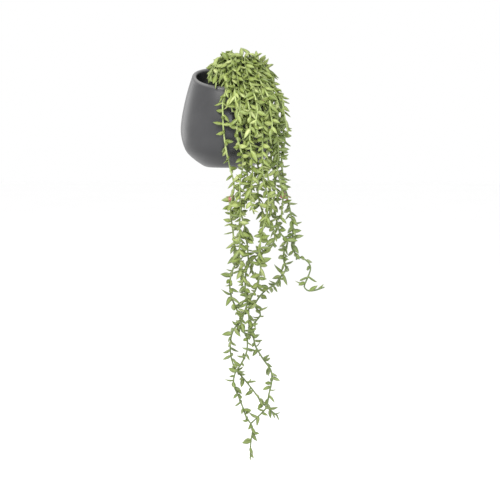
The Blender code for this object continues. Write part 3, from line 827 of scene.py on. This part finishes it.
# %% Where strands start and lead
def root_spots(count):
    """A sunflower head of roots, so that they are evenly spaced."""
    spots = []
    for i in range(count):
        share = math.sqrt((i + 0.5) / count)
        a = i * math.radians(ROOT_SPIRAL)
        spots.append((ROOTS_AT[0] + ROOTS_WIDE * share * math.cos(a),
                      ROOTS_AT[1] + ROOTS_DEEP * share * math.sin(a)))
    return spots


def crown_aims(rng):
    """Where each strand of the crown ends in plan, and which layer of the dome it follows."""
    aims = []
    for i in range(CROWN_STRANDS):
        a = math.radians(360 * (i + 0.5) / CROWN_STRANDS + rng.uniform(-8, 8))
        a += 0.45 * math.sin(a)  # the long strands fill the right side, so more of these go left
        front = 0.5 + 0.5 * math.sin(a)
        share = CROWN_LAYERS[i % len(CROWN_LAYERS)]
        out_x = CROWN_WIDE * share * rng.uniform(0.92, 1.06)
        out_n = (CROWN_DEEP + CROWN_DEEP * front) * share * rng.uniform(0.92, 1.06)
        aims.append((CROWN_AT[0] + out_x * math.cos(a), CROWN_AT[1] + out_n * math.sin(a),
                     rng.uniform(0.72, 1.0)))
    return aims


def dome_z(x, n, layer):
    """Height over a spot of the crown's dome, at layer 1, or of a smaller dome inside it."""
    out = math.hypot(x - CROWN_PEAK[0], n - CROWN_PEAK[1]) / CROWN_REACH
    return SOIL_Z + (CROWN_TOP - CROWN_FALL * out * out - SOIL_Z) * layer


def matched(spots, targets):
    """Gives each target a root so that lines from one to the other cross as little as can be."""
    order = list(range(len(targets)))
    cost = np.array([[(s[0] - t[0]) ** 2 + (s[1] - t[1]) ** 2 for s in spots] for t in targets])
    better = True
    while better:
        better = False
        for i in range(len(order)):
            for j in range(i + 1, len(order)):
                now = cost[i, order[i]] + cost[j, order[j]]
                if cost[i, order[j]] + cost[j, order[i]] < now - 1e-9:
                    order[i], order[j] = order[j], order[i]
                    better = True
    return [spots[k] for k in order]


names = ["strand_" + key for key in TRAILS] + ["crown_%02d" % (i + 1) for i in range(CROWN_STRANDS)]
line_rng = random.Random(SEED)
aims = crown_aims(line_rng)
targets = [(route[0][0], near) for near, route in TRAILS.values()] + [aim[:2] for aim in aims]
roots = matched(root_spots(len(names)), targets)
print("roots and places matched:", len(roots))

# %% [markdown]
# A long strand rises from its root, crests over the lip and then follows its route, with a slow sway
# towards the viewer and back, because the route itself has no depth. Strands that hang further out pass
# over the lip in a higher layer. A strand of the crown climbs in a few steps to its own layer of the
# dome and ends a little lower, with a bow to one side.

# %% One line for each strand
LIP_REACH = 54.0  # how far from the axis the long strands cross the lip
LOWEST_NEAR, LOWEST_REACH = 42, 84  # strands that hang no further out than this pass in the lowest layer
CREST_Z, LAYER_RISE = 126.0, 0.52
SWAY, SWAY_LONG = 4.5, 21.0
DRAW_IN_FROM, DRAW_IN = -20, 0.035  # below this height a strand comes back towards the wall
SHORTEST_ARCH = 24.0
ARCH = ((0.2, 0.55), (0.42, 0.85), (0.66, 1.0), (0.86, 1.0), (1.0, 0.9))  # share of way and of height


def out_of_soil(root, rise):
    return [(*root, SOIL_Z - STEM_SUNK), (*root, SOIL_Z), (*root, SOIL_Z + rise)]


def trailing_line(near, route, root, rng):
    x = route[0][0]
    reach = math.hypot(x, near)
    lip = (LIP_REACH * x / reach, LIP_REACH * near / reach)
    layer = max(near - LOWEST_NEAR, reach - LOWEST_REACH, 0)
    crest = (root[0] * 0.5 + lip[0] * 0.5, root[1] * 0.5 + lip[1] * 0.5, CREST_Z + LAYER_RISE * layer)
    over = (lip[0] * 1.04, lip[1] * 1.04, mouth_z(lip[1]) + 5 + 0.5 * layer)
    line = [*out_of_soil(root, 9), crest, over]
    phase = rng.uniform(0, 2 * math.pi)
    for px, pz in route:
        depth = near - DRAW_IN * max(DRAW_IN_FROM - pz, 0)
        depth += SWAY * math.sin(pz / SWAY_LONG + phase) * share_between(pz, 60, -20)
        line.append((px, depth, pz))
    return upright(spline(line))


def crown_line(aim, root, rng):
    swing = rng.uniform(-9, 9)
    wider = max(SHORTEST_ARCH / math.dist(root, aim[:2]), 1)
    end = (root[0] + (aim[0] - root[0]) * wider, root[1] + (aim[1] - root[1]) * wider)
    line = out_of_soil(root, 12)
    for share, height in ARCH:
        side = swing * math.sin(math.pi * share)
        x = root[0] + (end[0] - root[0]) * share + side
        n = root[1] + (end[1] - root[1]) * share - side * 0.4
        line.append((x, n, SOIL_Z + (dome_z(x, n, aim[2]) - SOIL_Z) * height))
    return upright(spline(line))


lines = [trailing_line(*trail, root, line_rng) for trail, root in zip(TRAILS.values(), roots)]
lines += [crown_line(aim, root, line_rng) for aim, root in zip(aims, roots[len(TRAILS):])]
print(len(lines), "lines")

# %% [markdown]
# Stems can't pass through each other or through the pot. The lines are pushed apart a little at a time
# wherever two come too close, while each keeps its own bends, for a fixed number of rounds.

# %% Bending the lines clear
BEND_ROUNDS, LONGEST_PUSH = 120, 1.5
LINES_APART, POT_APART = 6.0, 3.9
LIP_ZONE, OFF_WALL = 7, 1.5  # how far down the lip stems are lifted, and room behind the plant


def stem_push(points, keep):
    """How far each point must move to keep clear of the pot, the soil and the wall."""
    x, n, z = points.T
    off, way = beyond(x, n, z)
    push = np.zeros_like(points)
    lip = mouth_z(n)
    beside = (off > -WALL - keep) & (off < keep) & (z < lip + keep)
    near_lip = beside & (z > lip - LIP_ZONE)
    outward_of = beside & ~near_lip & (off > -WALL / 2)
    inward_of = beside & ~near_lip & ~outward_of
    push[near_lip, 2] += (lip + keep - z)[near_lip]
    push[outward_of] += way[outward_of] * (keep - off)[outward_of, None]
    push[inward_of] -= way[inward_of] * (off + WALL + keep)[inward_of, None]
    behind = n < -BACK + keep + OFF_WALL
    push[behind, 1] += (-BACK + keep + OFF_WALL - n)[behind]
    return push


def bend_of(points, at):
    """How far each of the points at these places lies from the middle between its neighbours."""
    bend = np.zeros_like(points)
    bend[at] = 0.5 * (points[at - 1] + points[at + 1]) - points[at]
    return bend


def bent_clear(lines):
    """Bends the lines apart where stems come too close, for a fixed number of rounds. The roots and the shape
    of the long falls hardly move.
    """
    owner = np.concatenate([[k] * len(line) for k, line in enumerate(lines)])
    fixed = np.concatenate([np.arange(len(line)) <= UPRIGHT for line in lines])
    home = np.vstack(lines)
    points = home.copy()
    same_line = owner[:-1] == owner[1:]
    at = 1 + np.flatnonzero(same_line[:-1] & same_line[1:])
    for step in range(BEND_ROUNDS):
        gap = points[:, None] - points[None]
        away = np.linalg.norm(gap, axis=2)
        close = (away < LINES_APART) & (owner[:, None] != owner[None])
        share = np.where(close, (LINES_APART - away) / np.maximum(away, 0.01), 0.0)
        push = 0.5 * (gap * share[:, :, None]).sum(axis=1)
        push[at] = 0.5 * push[at] + 0.25 * (push[at - 1] + push[at + 1])
        length = np.linalg.norm(push, axis=1, keepdims=True)
        push *= np.minimum(1.0, LONGEST_PUSH / np.maximum(length, 1e-9))
        if step < BEND_ROUNDS * 0.7:
            push += 0.3 * (bend_of(points, at) - bend_of(home, at))
        push += stem_push(points + push, POT_APART)
        push[fixed] = 0
        points = points + push
    cuts = np.cumsum([len(line) for line in lines])[:-1]
    return np.split(points, cuts)


smooth_lines = bent_clear(lines)
lines = [simplified(line) for line in smooth_lines]
print("points kept for the thinned lines:", sum(len(line) for line in lines))

# %% [markdown]
# Leaves stand round a stem in a spiral of about 137 degrees from one to the next. Each leaf is tried
# at its own angle first, and turned to either side until a row of balls along it touches nothing.
# These first leaves are the ones the solids have, and more follow by the same rule.

# %% Where a leaf can stand
FIRST_RULE = {
    "balls": ((0.18, 1.4), (0.4, 2.7), (0.6, 2.5), (0.8, 1.5), (1.0, 0.4)),  # share of the leaf, radius
    "free_from": 1,  # the first ball that must be clear
    "added": 0.55, "over_soil": 3.0, "off_wall": 1.5,  # room round the balls
    "others": 1.0,  # how much of the size of other balls counts
    "tries": 26, "turn_by": 27, "shorter_after": 14, "shorter": 0.78,
}


def frames(line):
    """Tangent and two normals at each point, carried along without twist."""
    tangent = np.gradient(line, axis=0)
    tangent /= np.linalg.norm(tangent, axis=1, keepdims=True)
    side = np.cross(tangent[0], (0.3, 1.0, 0.1))
    sides = []
    for t in tangent:
        side = side - t * np.dot(side, t)
        side /= np.linalg.norm(side)
        sides.append(side)
    sides = np.array(sides)
    return tangent, sides, np.cross(tangent, sides)


def stem_balls(lines, r):
    """Small balls all along each stem."""
    rows = [resample(line, 1.6) for line in lines]
    return [np.column_stack([row, np.full(len(row), r)]) for row in rows]


def only_near(balls, line, reach):
    """Those of the balls that lie inside a box round the line."""
    near = (balls[:, :3] > line.min(axis=0) - reach).all(axis=1)
    near &= (balls[:, :3] < line.max(axis=0) + reach).all(axis=1)
    return balls[near]


def leaf_balls(foot, way, long, rule):
    share = long / LEAF_LONG
    return np.array([(*(foot + way * long * t), r * share) for t, r in rule["balls"]])


def balls_clear(balls, others, rule):
    """True where a leaf's balls touch neither the pot, the soil, the wall nor the other balls."""
    spots, rad = balls[:, :3], balls[:, 3] + rule["added"]
    x, n, z = spots.T
    off, _ = beyond(x, n, z)
    above = z - rad > mouth_z(n)
    outside = (off - rad > 0) | (z + rad < -1)
    inside = (off + rad < -WALL) & (z - rad > SOIL_Z + rule["over_soil"])
    if not (above | outside | inside).all() or (n - rad < -BACK + rule["off_wall"]).any():
        return False
    away = np.linalg.norm(spots[:, None] - others[None, :, :3], axis=2)
    return bool((away > rad[:, None] + rule["others"] * others[None, :, 3]).all())


def broad_side(foot, direction, tangent, roll):
    """Which way a leaf is wide. Its upper face turns to the light, more or less, as its roll says."""
    light = np.array([foot[0] - LIGHT_FROM[0], foot[1] - LIGHT_FROM[1], 40.0])
    light /= np.linalg.norm(light)
    face = light - direction * np.dot(light, direction)
    if np.linalg.norm(face) < 0.25:
        face = np.cross(np.cross(direction, tangent), direction)
    face /= np.linalg.norm(face)
    flat = np.cross(face, direction)
    return flat * math.cos(roll) + face * math.sin(roll)


def fitted_leaf(place_on_stem, turn, lean, droop, length, roll, others, rule, unwanted=None):
    """A leaf that fits, as its foot, way, broad side and length, and its balls, or two times nothing.

    It leans off its stem and droops. Its own turn round the stem is tried first, then others to either
    side of it, the later ones with a shorter leaf.
    """
    foot, tangent, side, other = place_on_stem
    for tried in range(rule["tries"]):
        a = math.radians(turn + (tried + 1) // 2 * rule["turn_by"] * (-1) ** tried)
        long = length * (1.0 if tried < rule["shorter_after"] else rule["shorter"])
        out = side * math.cos(a) + other * math.sin(a)
        way = tangent * math.cos(lean) + out * math.sin(lean) - (0, 0, droop)
        way /= np.linalg.norm(way)
        balls = leaf_balls(foot, way, long, rule)
        if unwanted and unwanted(foot, way, balls[-1]):
            continue
        if balls_clear(balls[rule["free_from"]:], others, rule):
            return (foot, way, broad_side(foot, way, tangent, roll), long), balls
    return None, None


print("balls along a leaf:", len(FIRST_RULE["balls"]))

# %% [markdown]
# The first leaves keep clear of all other strands. They stand far apart on the long strands and closer
# in the crown, where they also droop. Near a stem's tip they are shorter and lie closer to it.

# %% The first leaves
DROOP_FROM, DROOP_FULL = 90.0, 120.0  # heights between which leaves begin to droop
CROWN_FROM = 95.0


def first_leaves():
    rng = random.Random(SEED + 2)
    stems = stem_balls(lines, STEM_ROOT * 1.2)
    placed = [np.empty((0, 4)) for _ in lines]
    plan = [[] for _ in lines]
    for k, line in enumerate(lines):
        fine = resample(line, 1.0)
        places = list(zip(fine, *frames(fine)))
        others = [balls for group in (stems, placed) for j, balls in enumerate(group) if j != k]
        others = only_near(np.vstack(others), fine, 20)
        turn = rng.uniform(0, 360)
        at = 20.0 + rng.uniform(0, 4)
        while at < len(fine) - 2:
            i = int(at)
            left = len(fine) - at
            turn += SPIRAL + rng.uniform(-24, 24)
            lean = math.radians(rng.uniform(48, 76) if left > 24 else rng.uniform(30, 50))
            length = LEAF_LONG * rng.uniform(0.84, 1.08) * (0.72 if left < 14 else 1.0)
            droop = 0.35 * share_between(fine[i, 2], DROOP_FROM, DROOP_FULL)
            roll = math.radians(rng.uniform(-55, 55))
            leaf, balls = fitted_leaf(places[i], turn, lean, droop, length, roll, others, FIRST_RULE)
            if leaf:
                plan[k].append(leaf)
                placed[k] = np.vstack([placed[k], balls])
            step = LEAF_STEP_TRAIL if fine[i, 2] < CROWN_FROM else LEAF_STEP_CROWN
            at += step * rng.uniform(0.72, 1.28)
    return plan


plan = first_leaves()
print("first leaves:", sum(len(leaves) for leaves in plan))

# %% [markdown]
# Two shoots at the crown's left side are a little longer on the real plant than in the solids, and hang
# over the lip. Their lines are drawn on through a few more points and pushed clear of the lip.

# %% Longer shoots
LONGER = {"crown_07": [(-23, 39, 133), (-24, 46, 126), (-23, 53, 118)],
          "crown_06": [(-15, 41, 130), (-17, 49, 122), (-16, 57, 113)]}
LONGER_APART, LONGER_ROUNDS = 3.4, 6
for longer, more in LONGER.items():
    grown = spline(np.vstack([smooth_lines[names.index(longer)][::4], more]))
    for _ in range(LONGER_ROUNDS):
        grown[UPRIGHT + 1:] += stem_push(grown, LONGER_APART)[UPRIGHT + 1:]
    smooth_lines[names.index(longer)] = grown
    print(longer, "has", len(grown), "points")

# %% [markdown]
# The living plant has many more leaves than the solids need, so more are added on every stem, closest
# on the falls in front of the pot and just below it. In the crown they lie along the dome and droop
# instead of standing out of it. The real plant is bare in three places: beside the crown's left slope,
# over the glaze by the first fall, and round the thin hook at the lower right. Leaves that would reach
# there are turned or left out, and the first fall itself has few.

# %% More leaves
MORE_STEPS = ((-400, 11.5), (-190, 6.2), (-150, 4.2), (60, 4.6), (110, 6.4), (200, 6.8))  # height, gap
MORE_RULE = {
    "balls": ((0.3, 1.9), (0.5, 2.3), (0.7, 1.8), (0.9, 0.7)),
    "free_from": 0,
    "added": 0.0, "over_soil": 2.0, "off_wall": 1.0,
    "others": 0.8,
    "tries": 20, "turn_by": 36, "shorter_after": 10, "shorter": 0.72,
}
DOME_MIDDLE, DOME_FROM, MOST_OUTWARD = (*LIGHT_FROM, 80.0), 70, 0.35
SLOPE_AT, SLOPE_RISE, BARE_X = (-21, 148), 1.1, 2
GLAZE_X, GLAZE_Z = (BARE_X, 10), (2, 92)
HOOK_X, HOOK_Z = 98, -112
FALL_X, FALL_Z, FALL_APART = 8, (-15, 92), 3


def over_bare_place(x, z):
    on_slope = x < BARE_X and z > SLOPE_AT[1] + SLOPE_RISE * (x - SLOPE_AT[0])
    on_glaze = GLAZE_X[0] < x < GLAZE_X[1] and GLAZE_Z[0] < z < GLAZE_Z[1]
    on_hook = x > HOOK_X and z < HOOK_Z
    return on_slope or on_glaze or on_hook


def unwanted(foot, way, tip):
    """True for a leaf of the crown that would point out of the dome, and for one over a bare place."""
    outward = foot - DOME_MIDDLE
    stands_out = foot[2] > DOME_FROM and way @ outward > MOST_OUTWARD * np.linalg.norm(outward)
    return stands_out or over_bare_place(tip[0], tip[2])


def more_leaves():
    rng = random.Random(SEED + 9)
    stems = stem_balls(smooth_lines, STEM_ROOT)
    placed = [np.vstack([leaf_balls(foot, way, long, MORE_RULE) for foot, way, _, long in leaves])
              for leaves in plan]
    extra = [[] for _ in lines]
    for k, line in enumerate(smooth_lines):
        fine = resample(line, 1.0)
        places = list(zip(fine, *frames(fine)))
        others = [stem for j, stem in enumerate(stems) if j != k] + placed
        others = only_near(np.vstack(others), fine, 18)
        turn = rng.uniform(0, 360)
        at = 14.0 + rng.uniform(0, 4)
        while at < len(fine) - 1:
            i = int(at)
            x, _, z = fine[i]
            left = len(fine) - at
            in_crown = z > 50
            turn += SPIRAL + rng.uniform(-20, 20)
            lean = math.radians(34 + 80 * rng.random() ** 1.6 if left > 20 else rng.uniform(20, 48))
            length = LEAF_LONG * rng.uniform(0.86 if in_crown else 0.64, 1.14) * (0.62 if left < 12 else 1)
            droop = (0.8 if x < 2 else 0.45) * share_between(z, DROOP_FROM, DROOP_FULL)
            roll = math.radians(rng.uniform(-36, 36) if in_crown else rng.uniform(-56, 56))
            leaf, balls = fitted_leaf(places[i], turn, lean, droop, length, roll, others, MORE_RULE, unwanted)
            if leaf:
                extra[k].append(leaf)
                placed[k] = np.vstack([placed[k], balls])
                others = np.vstack([others, balls])
            step = np.interp(z, *np.transpose(MORE_STEPS))
            if x < FALL_X and FALL_Z[0] < z < FALL_Z[1]:
                step *= FALL_APART
            at += step * rng.uniform(0.7, 1.3)
    return extra


extra = more_leaves()
print("more leaves:", sum(len(leaves) for leaves in extra))

# %% [markdown]
# One leaf is modelled and copied. It starts as a sphere of few sides, which is drawn out along its
# length into rings. Each ring is selected by its place and resized to the leaf's outline: a narrow
# foot, widest a little under the middle, and a long point. The upper side gets a shallow channel, and
# the whole leaf bends. Three models with different bends are made, so that leaves differ.

# %% One leaf
LEAF_RINGS = (0.0, 0.09, 0.25, 0.45, 0.64, 0.81, 0.93, 1.0)
LEAF_WIDTHS = (0.0, 0.36, 0.84, 1.0, 0.84, 0.51, 0.20, 0.0)
LEAF_DEPTHS = (0.0, 0.42, 0.86, 1.0, 0.86, 0.56, 0.26, 0.0)
LEAF_BENDS = (-0.5, 0.8, 2.0)
CHANNEL = 0.34


def leaf_model(name, bend):
    """A leaf of unit length along +Z, unit half width along X, its upper side towards +Y."""
    select_only()
    bpy.ops.mesh.primitive_uv_sphere_add(segments=6, ring_count=len(LEAF_RINGS) - 1, radius=1.0)
    made = bpy.context.object
    made.name = name
    heights = sorted({round(v.co.z, 4) for v in made.data.vertices})
    bpy.ops.object.mode_set(mode="EDIT")
    for k, height in enumerate(heights):
        bpy.ops.mesh.select_all(action="DESELECT")
        work = bmesh.from_edit_mesh(made.data)
        ring = [v for v in work.verts if abs(v.co.z - height) < 1e-3]
        for vertex in ring:
            vertex.select = True
        work.select_flush(True)
        bmesh.update_edit_mesh(made.data)
        reach = math.sqrt(max(1 - height * height, 0))
        if reach > 0.01:
            bpy.ops.transform.resize(value=(LEAF_WIDTHS[k] / reach, LEAF_DEPTHS[k] / reach, 1))
        t = LEAF_RINGS[k]
        bpy.ops.transform.translate(value=(0, bend * t * t, t - height))
    bpy.ops.mesh.select_all(action="DESELECT")
    work = bmesh.from_edit_mesh(made.data)
    for vertex in work.verts:
        on_middle_ring = LEAF_RINGS[2] - 0.01 < vertex.co.z < LEAF_RINGS[5] + 0.01
        if on_middle_ring and abs(vertex.co.x) < 0.01 and vertex.co.y > 0.3:
            vertex.select = True
    work.select_flush(True)
    bmesh.update_edit_mesh(made.data)
    bpy.ops.transform.translate(value=(0, -CHANNEL, 0))
    bpy.ops.object.mode_set(mode="OBJECT")
    return made


leaf_models = [leaf_model("leaf_model_%d" % i, bend) for i, bend in enumerate(LEAF_BENDS)]
for made in leaf_models:
    print(made.name, len(made.data.polygons), "faces")

# %% [markdown]
# A copy of the leaf is turned to its own foot, direction and width and curls a little, those of the
# crown mostly down. It carries its numbers with it: its tone, how far along and across each point lies,
# and whether its foot blushes.

# %% Leaves of one strand
LEAF_DATA = []
for made in leaf_models:
    LEAF_DATA.append((np.array([v.co for v in made.data.vertices]),
                      [tuple(p.vertices) for p in made.data.polygons]))
    bpy.data.objects.remove(made)

FOOT_SUNK = 0.7  # how deep a leaf's foot lies in its stem
SLIM_AT, SLIM = (-220, -130, 40, 90, 120), (0.96, 1.08, 1.08, 1.0, 1.12)  # height, and width there
CROWN_CURL, FALL_CURL, SIDE_CURL = (-4.5, 1.0), (-3.5, 6.0), 3.0
TONE, TONE_SPREAD = 0.48, 0.28
BLUSHES, BLUSH_REACH, BLUSH_CHANCE = ((4, -38), (78, -38)), 5.0, 0.003


def leaf_copies(leaves, rng):
    """Points, faces and numbers of all the leaves of one strand."""
    points, faces, numbers = [], [], {"tone": [], "along": [], "across": [], "blush": []}
    start = 0
    for foot, direction, flat, length in leaves:
        spots, sides = LEAF_DATA[rng.choice((0, 1, 1, 2))]
        size = length / LEAF_LONG
        up = np.cross(direction, flat)
        slim = np.interp(foot[2], SLIM_AT, SLIM)
        wide = LEAF_HALF_WIDE * size * slim * rng.uniform(0.88, 1.12)
        thick = LEAF_HALF_THICK * size * rng.uniform(0.9, 1.2)
        long = length * (0.4 + 0.6 * slim) + FOOT_SUNK
        moved = foot - direction * FOOT_SUNK + np.outer(spots[:, 2], direction * long)
        moved += np.outer(spots[:, 0], flat * wide) + np.outer(spots[:, 1], up * thick)
        curl = flat * rng.uniform(-SIDE_CURL, SIDE_CURL)
        curl = curl + (0, 0, rng.uniform(*(CROWN_CURL if foot[2] > 80 else FALL_CURL)))
        moved += np.outer(np.clip(spots[:, 2], 0, 1) ** 2, curl)
        points.append(moved)
        faces += [tuple(i + start for i in side) for side in sides]
        start += len(spots)
        tone = min(max(rng.gauss(TONE, TONE_SPREAD), 0), 1)
        numbers["tone"] += [tone] * len(spots)
        near_blush = min(math.hypot(foot[0] - x, foot[2] - z) for x, z in BLUSHES) < BLUSH_REACH
        blushes = near_blush or rng.random() < BLUSH_CHANCE
        numbers["blush"] += [float(blushes)] * len(spots)
        numbers["along"] += list(spots[:, 2])
        numbers["across"] += list(np.abs(spots[:, 0]))
    return np.vstack(points), faces, numbers


print("points in a leaf:", len(LEAF_DATA[0][0]))

# %% [markdown]
# A stem is a curve with a round bevel, turned into a mesh. It tapers towards its tip and swells a
# little at each leaf's foot, as the joints of such a stem do. Stem and leaves are then joined into one
# piece, with the numbers that the finish reads.

# %% One strand
STEM_STEP, SLIMMER, TAPER = 2.4, 0.98, 0.55
SWELL, SWELL_LONG = 0.22, 1.6


def stem_piece(name, line, feet):
    fine = resample(line, STEM_STEP)
    curve = bpy.data.curves.new(name, "CURVE")
    curve.dimensions = "3D"
    curve.bevel_depth = 1.0
    curve.bevel_resolution = 1
    curve.use_fill_caps = True
    track = curve.splines.new("POLY")
    track.points.add(len(fine) - 1)
    spots = place(fine)
    for k, (point, spot) in enumerate(zip(track.points, spots)):
        share = k / (len(fine) - 1)
        near = np.linalg.norm(feet - fine[k], axis=1).min()
        swell = 1 + SWELL * math.exp(-(near / SWELL_LONG) ** 2)
        point.co = (*spot, 1)
        point.radius = (STEM_ROOT + (STEM_TIP - STEM_ROOT) * share * TAPER) * SLIMMER * swell * MM
    made = bpy.data.objects.new(name, curve)
    bpy.context.scene.collection.objects.link(made)
    select_only(made)
    bpy.ops.object.convert(target="MESH")
    return bpy.context.object


def shades(spots):
    """Painted shade on the green: cooler and darker to the right and low down, partly a cooler tint, and
    darker low down and on the crown's top.
    """
    x, _, z = spots.T
    # Partly painted shade: a cooler, darker green to the right and low down.
    right = share_between(x, 50, 86) * share_between(z, 96, 16)
    cool = np.clip(0.8 * right + 0.5 * share_between(z, -60, -320), 0, 1)
    # Painted shade: darker low down and on the crown's top.
    deep = 0.26 * share_between(z, 60, -30) + 0.6 * share_between(z, -90, -240)
    return {"cool": cool, "deep": deep + 0.3 * share_between(z, 95, 135)}


def age(spots, line, every=1):
    """How far up its line each spot is, from 0 at the root to 1 at the tip."""
    nearest = np.linalg.norm(spots[:, None] - line[None, ::every], axis=2).argmin(axis=1)
    return nearest * every / len(line)


def strand(name, line, leaves, seed):
    stem = stem_piece(name, line, np.array([foot for foot, *_ in leaves]))
    spots = spots_of(stem.data)
    plain = dict.fromkeys(("tone", "along", "across", "blush", "is_leaf"), np.zeros(len(spots)))
    write_numbers(stem.data, {**plain, "age": age(spots, line), **shades(spots)})
    points, faces, numbers = leaf_copies(leaves, random.Random(seed))
    mesh = bpy.data.meshes.new(name + "_leaves")
    mesh.from_pydata(place(points).tolist(), [], faces)
    write_numbers(mesh, {**numbers, "is_leaf": np.ones(len(points)), "age": age(points, line, 3),
                         **shades(points)})
    foliage = bpy.data.objects.new(name + "_leaves", mesh)
    bpy.context.scene.collection.objects.link(foliage)
    select_only(stem, foliage)
    bpy.ops.object.join()
    bpy.ops.object.mode_set(mode="EDIT")
    bpy.ops.mesh.select_all(action="SELECT")
    bpy.ops.mesh.normals_make_consistent(inside=False)
    bpy.ops.object.mode_set(mode="OBJECT")
    bpy.ops.object.shade_smooth()
    stem.data.materials.clear()
    stem.data.materials.append(leaf_finish)
    return stem


faces_made = 0
for k, name in enumerate(names):
    piece = strand("leafy_" + name, smooth_lines[k], plan[k] + extra[k], SEED * 100 + k)
    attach(piece, "root")
    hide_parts(name)
    faces_made += len(piece.data.polygons)
print("strands:", len(names), "faces:", faces_made)

# %% [markdown]
# The dressed model must be the size of the solids. The box of the solids is printed once more
# at the end.

# %% Size and end
print("solids", [round(v, 4) for v in (*cad_low, *cad_high)])
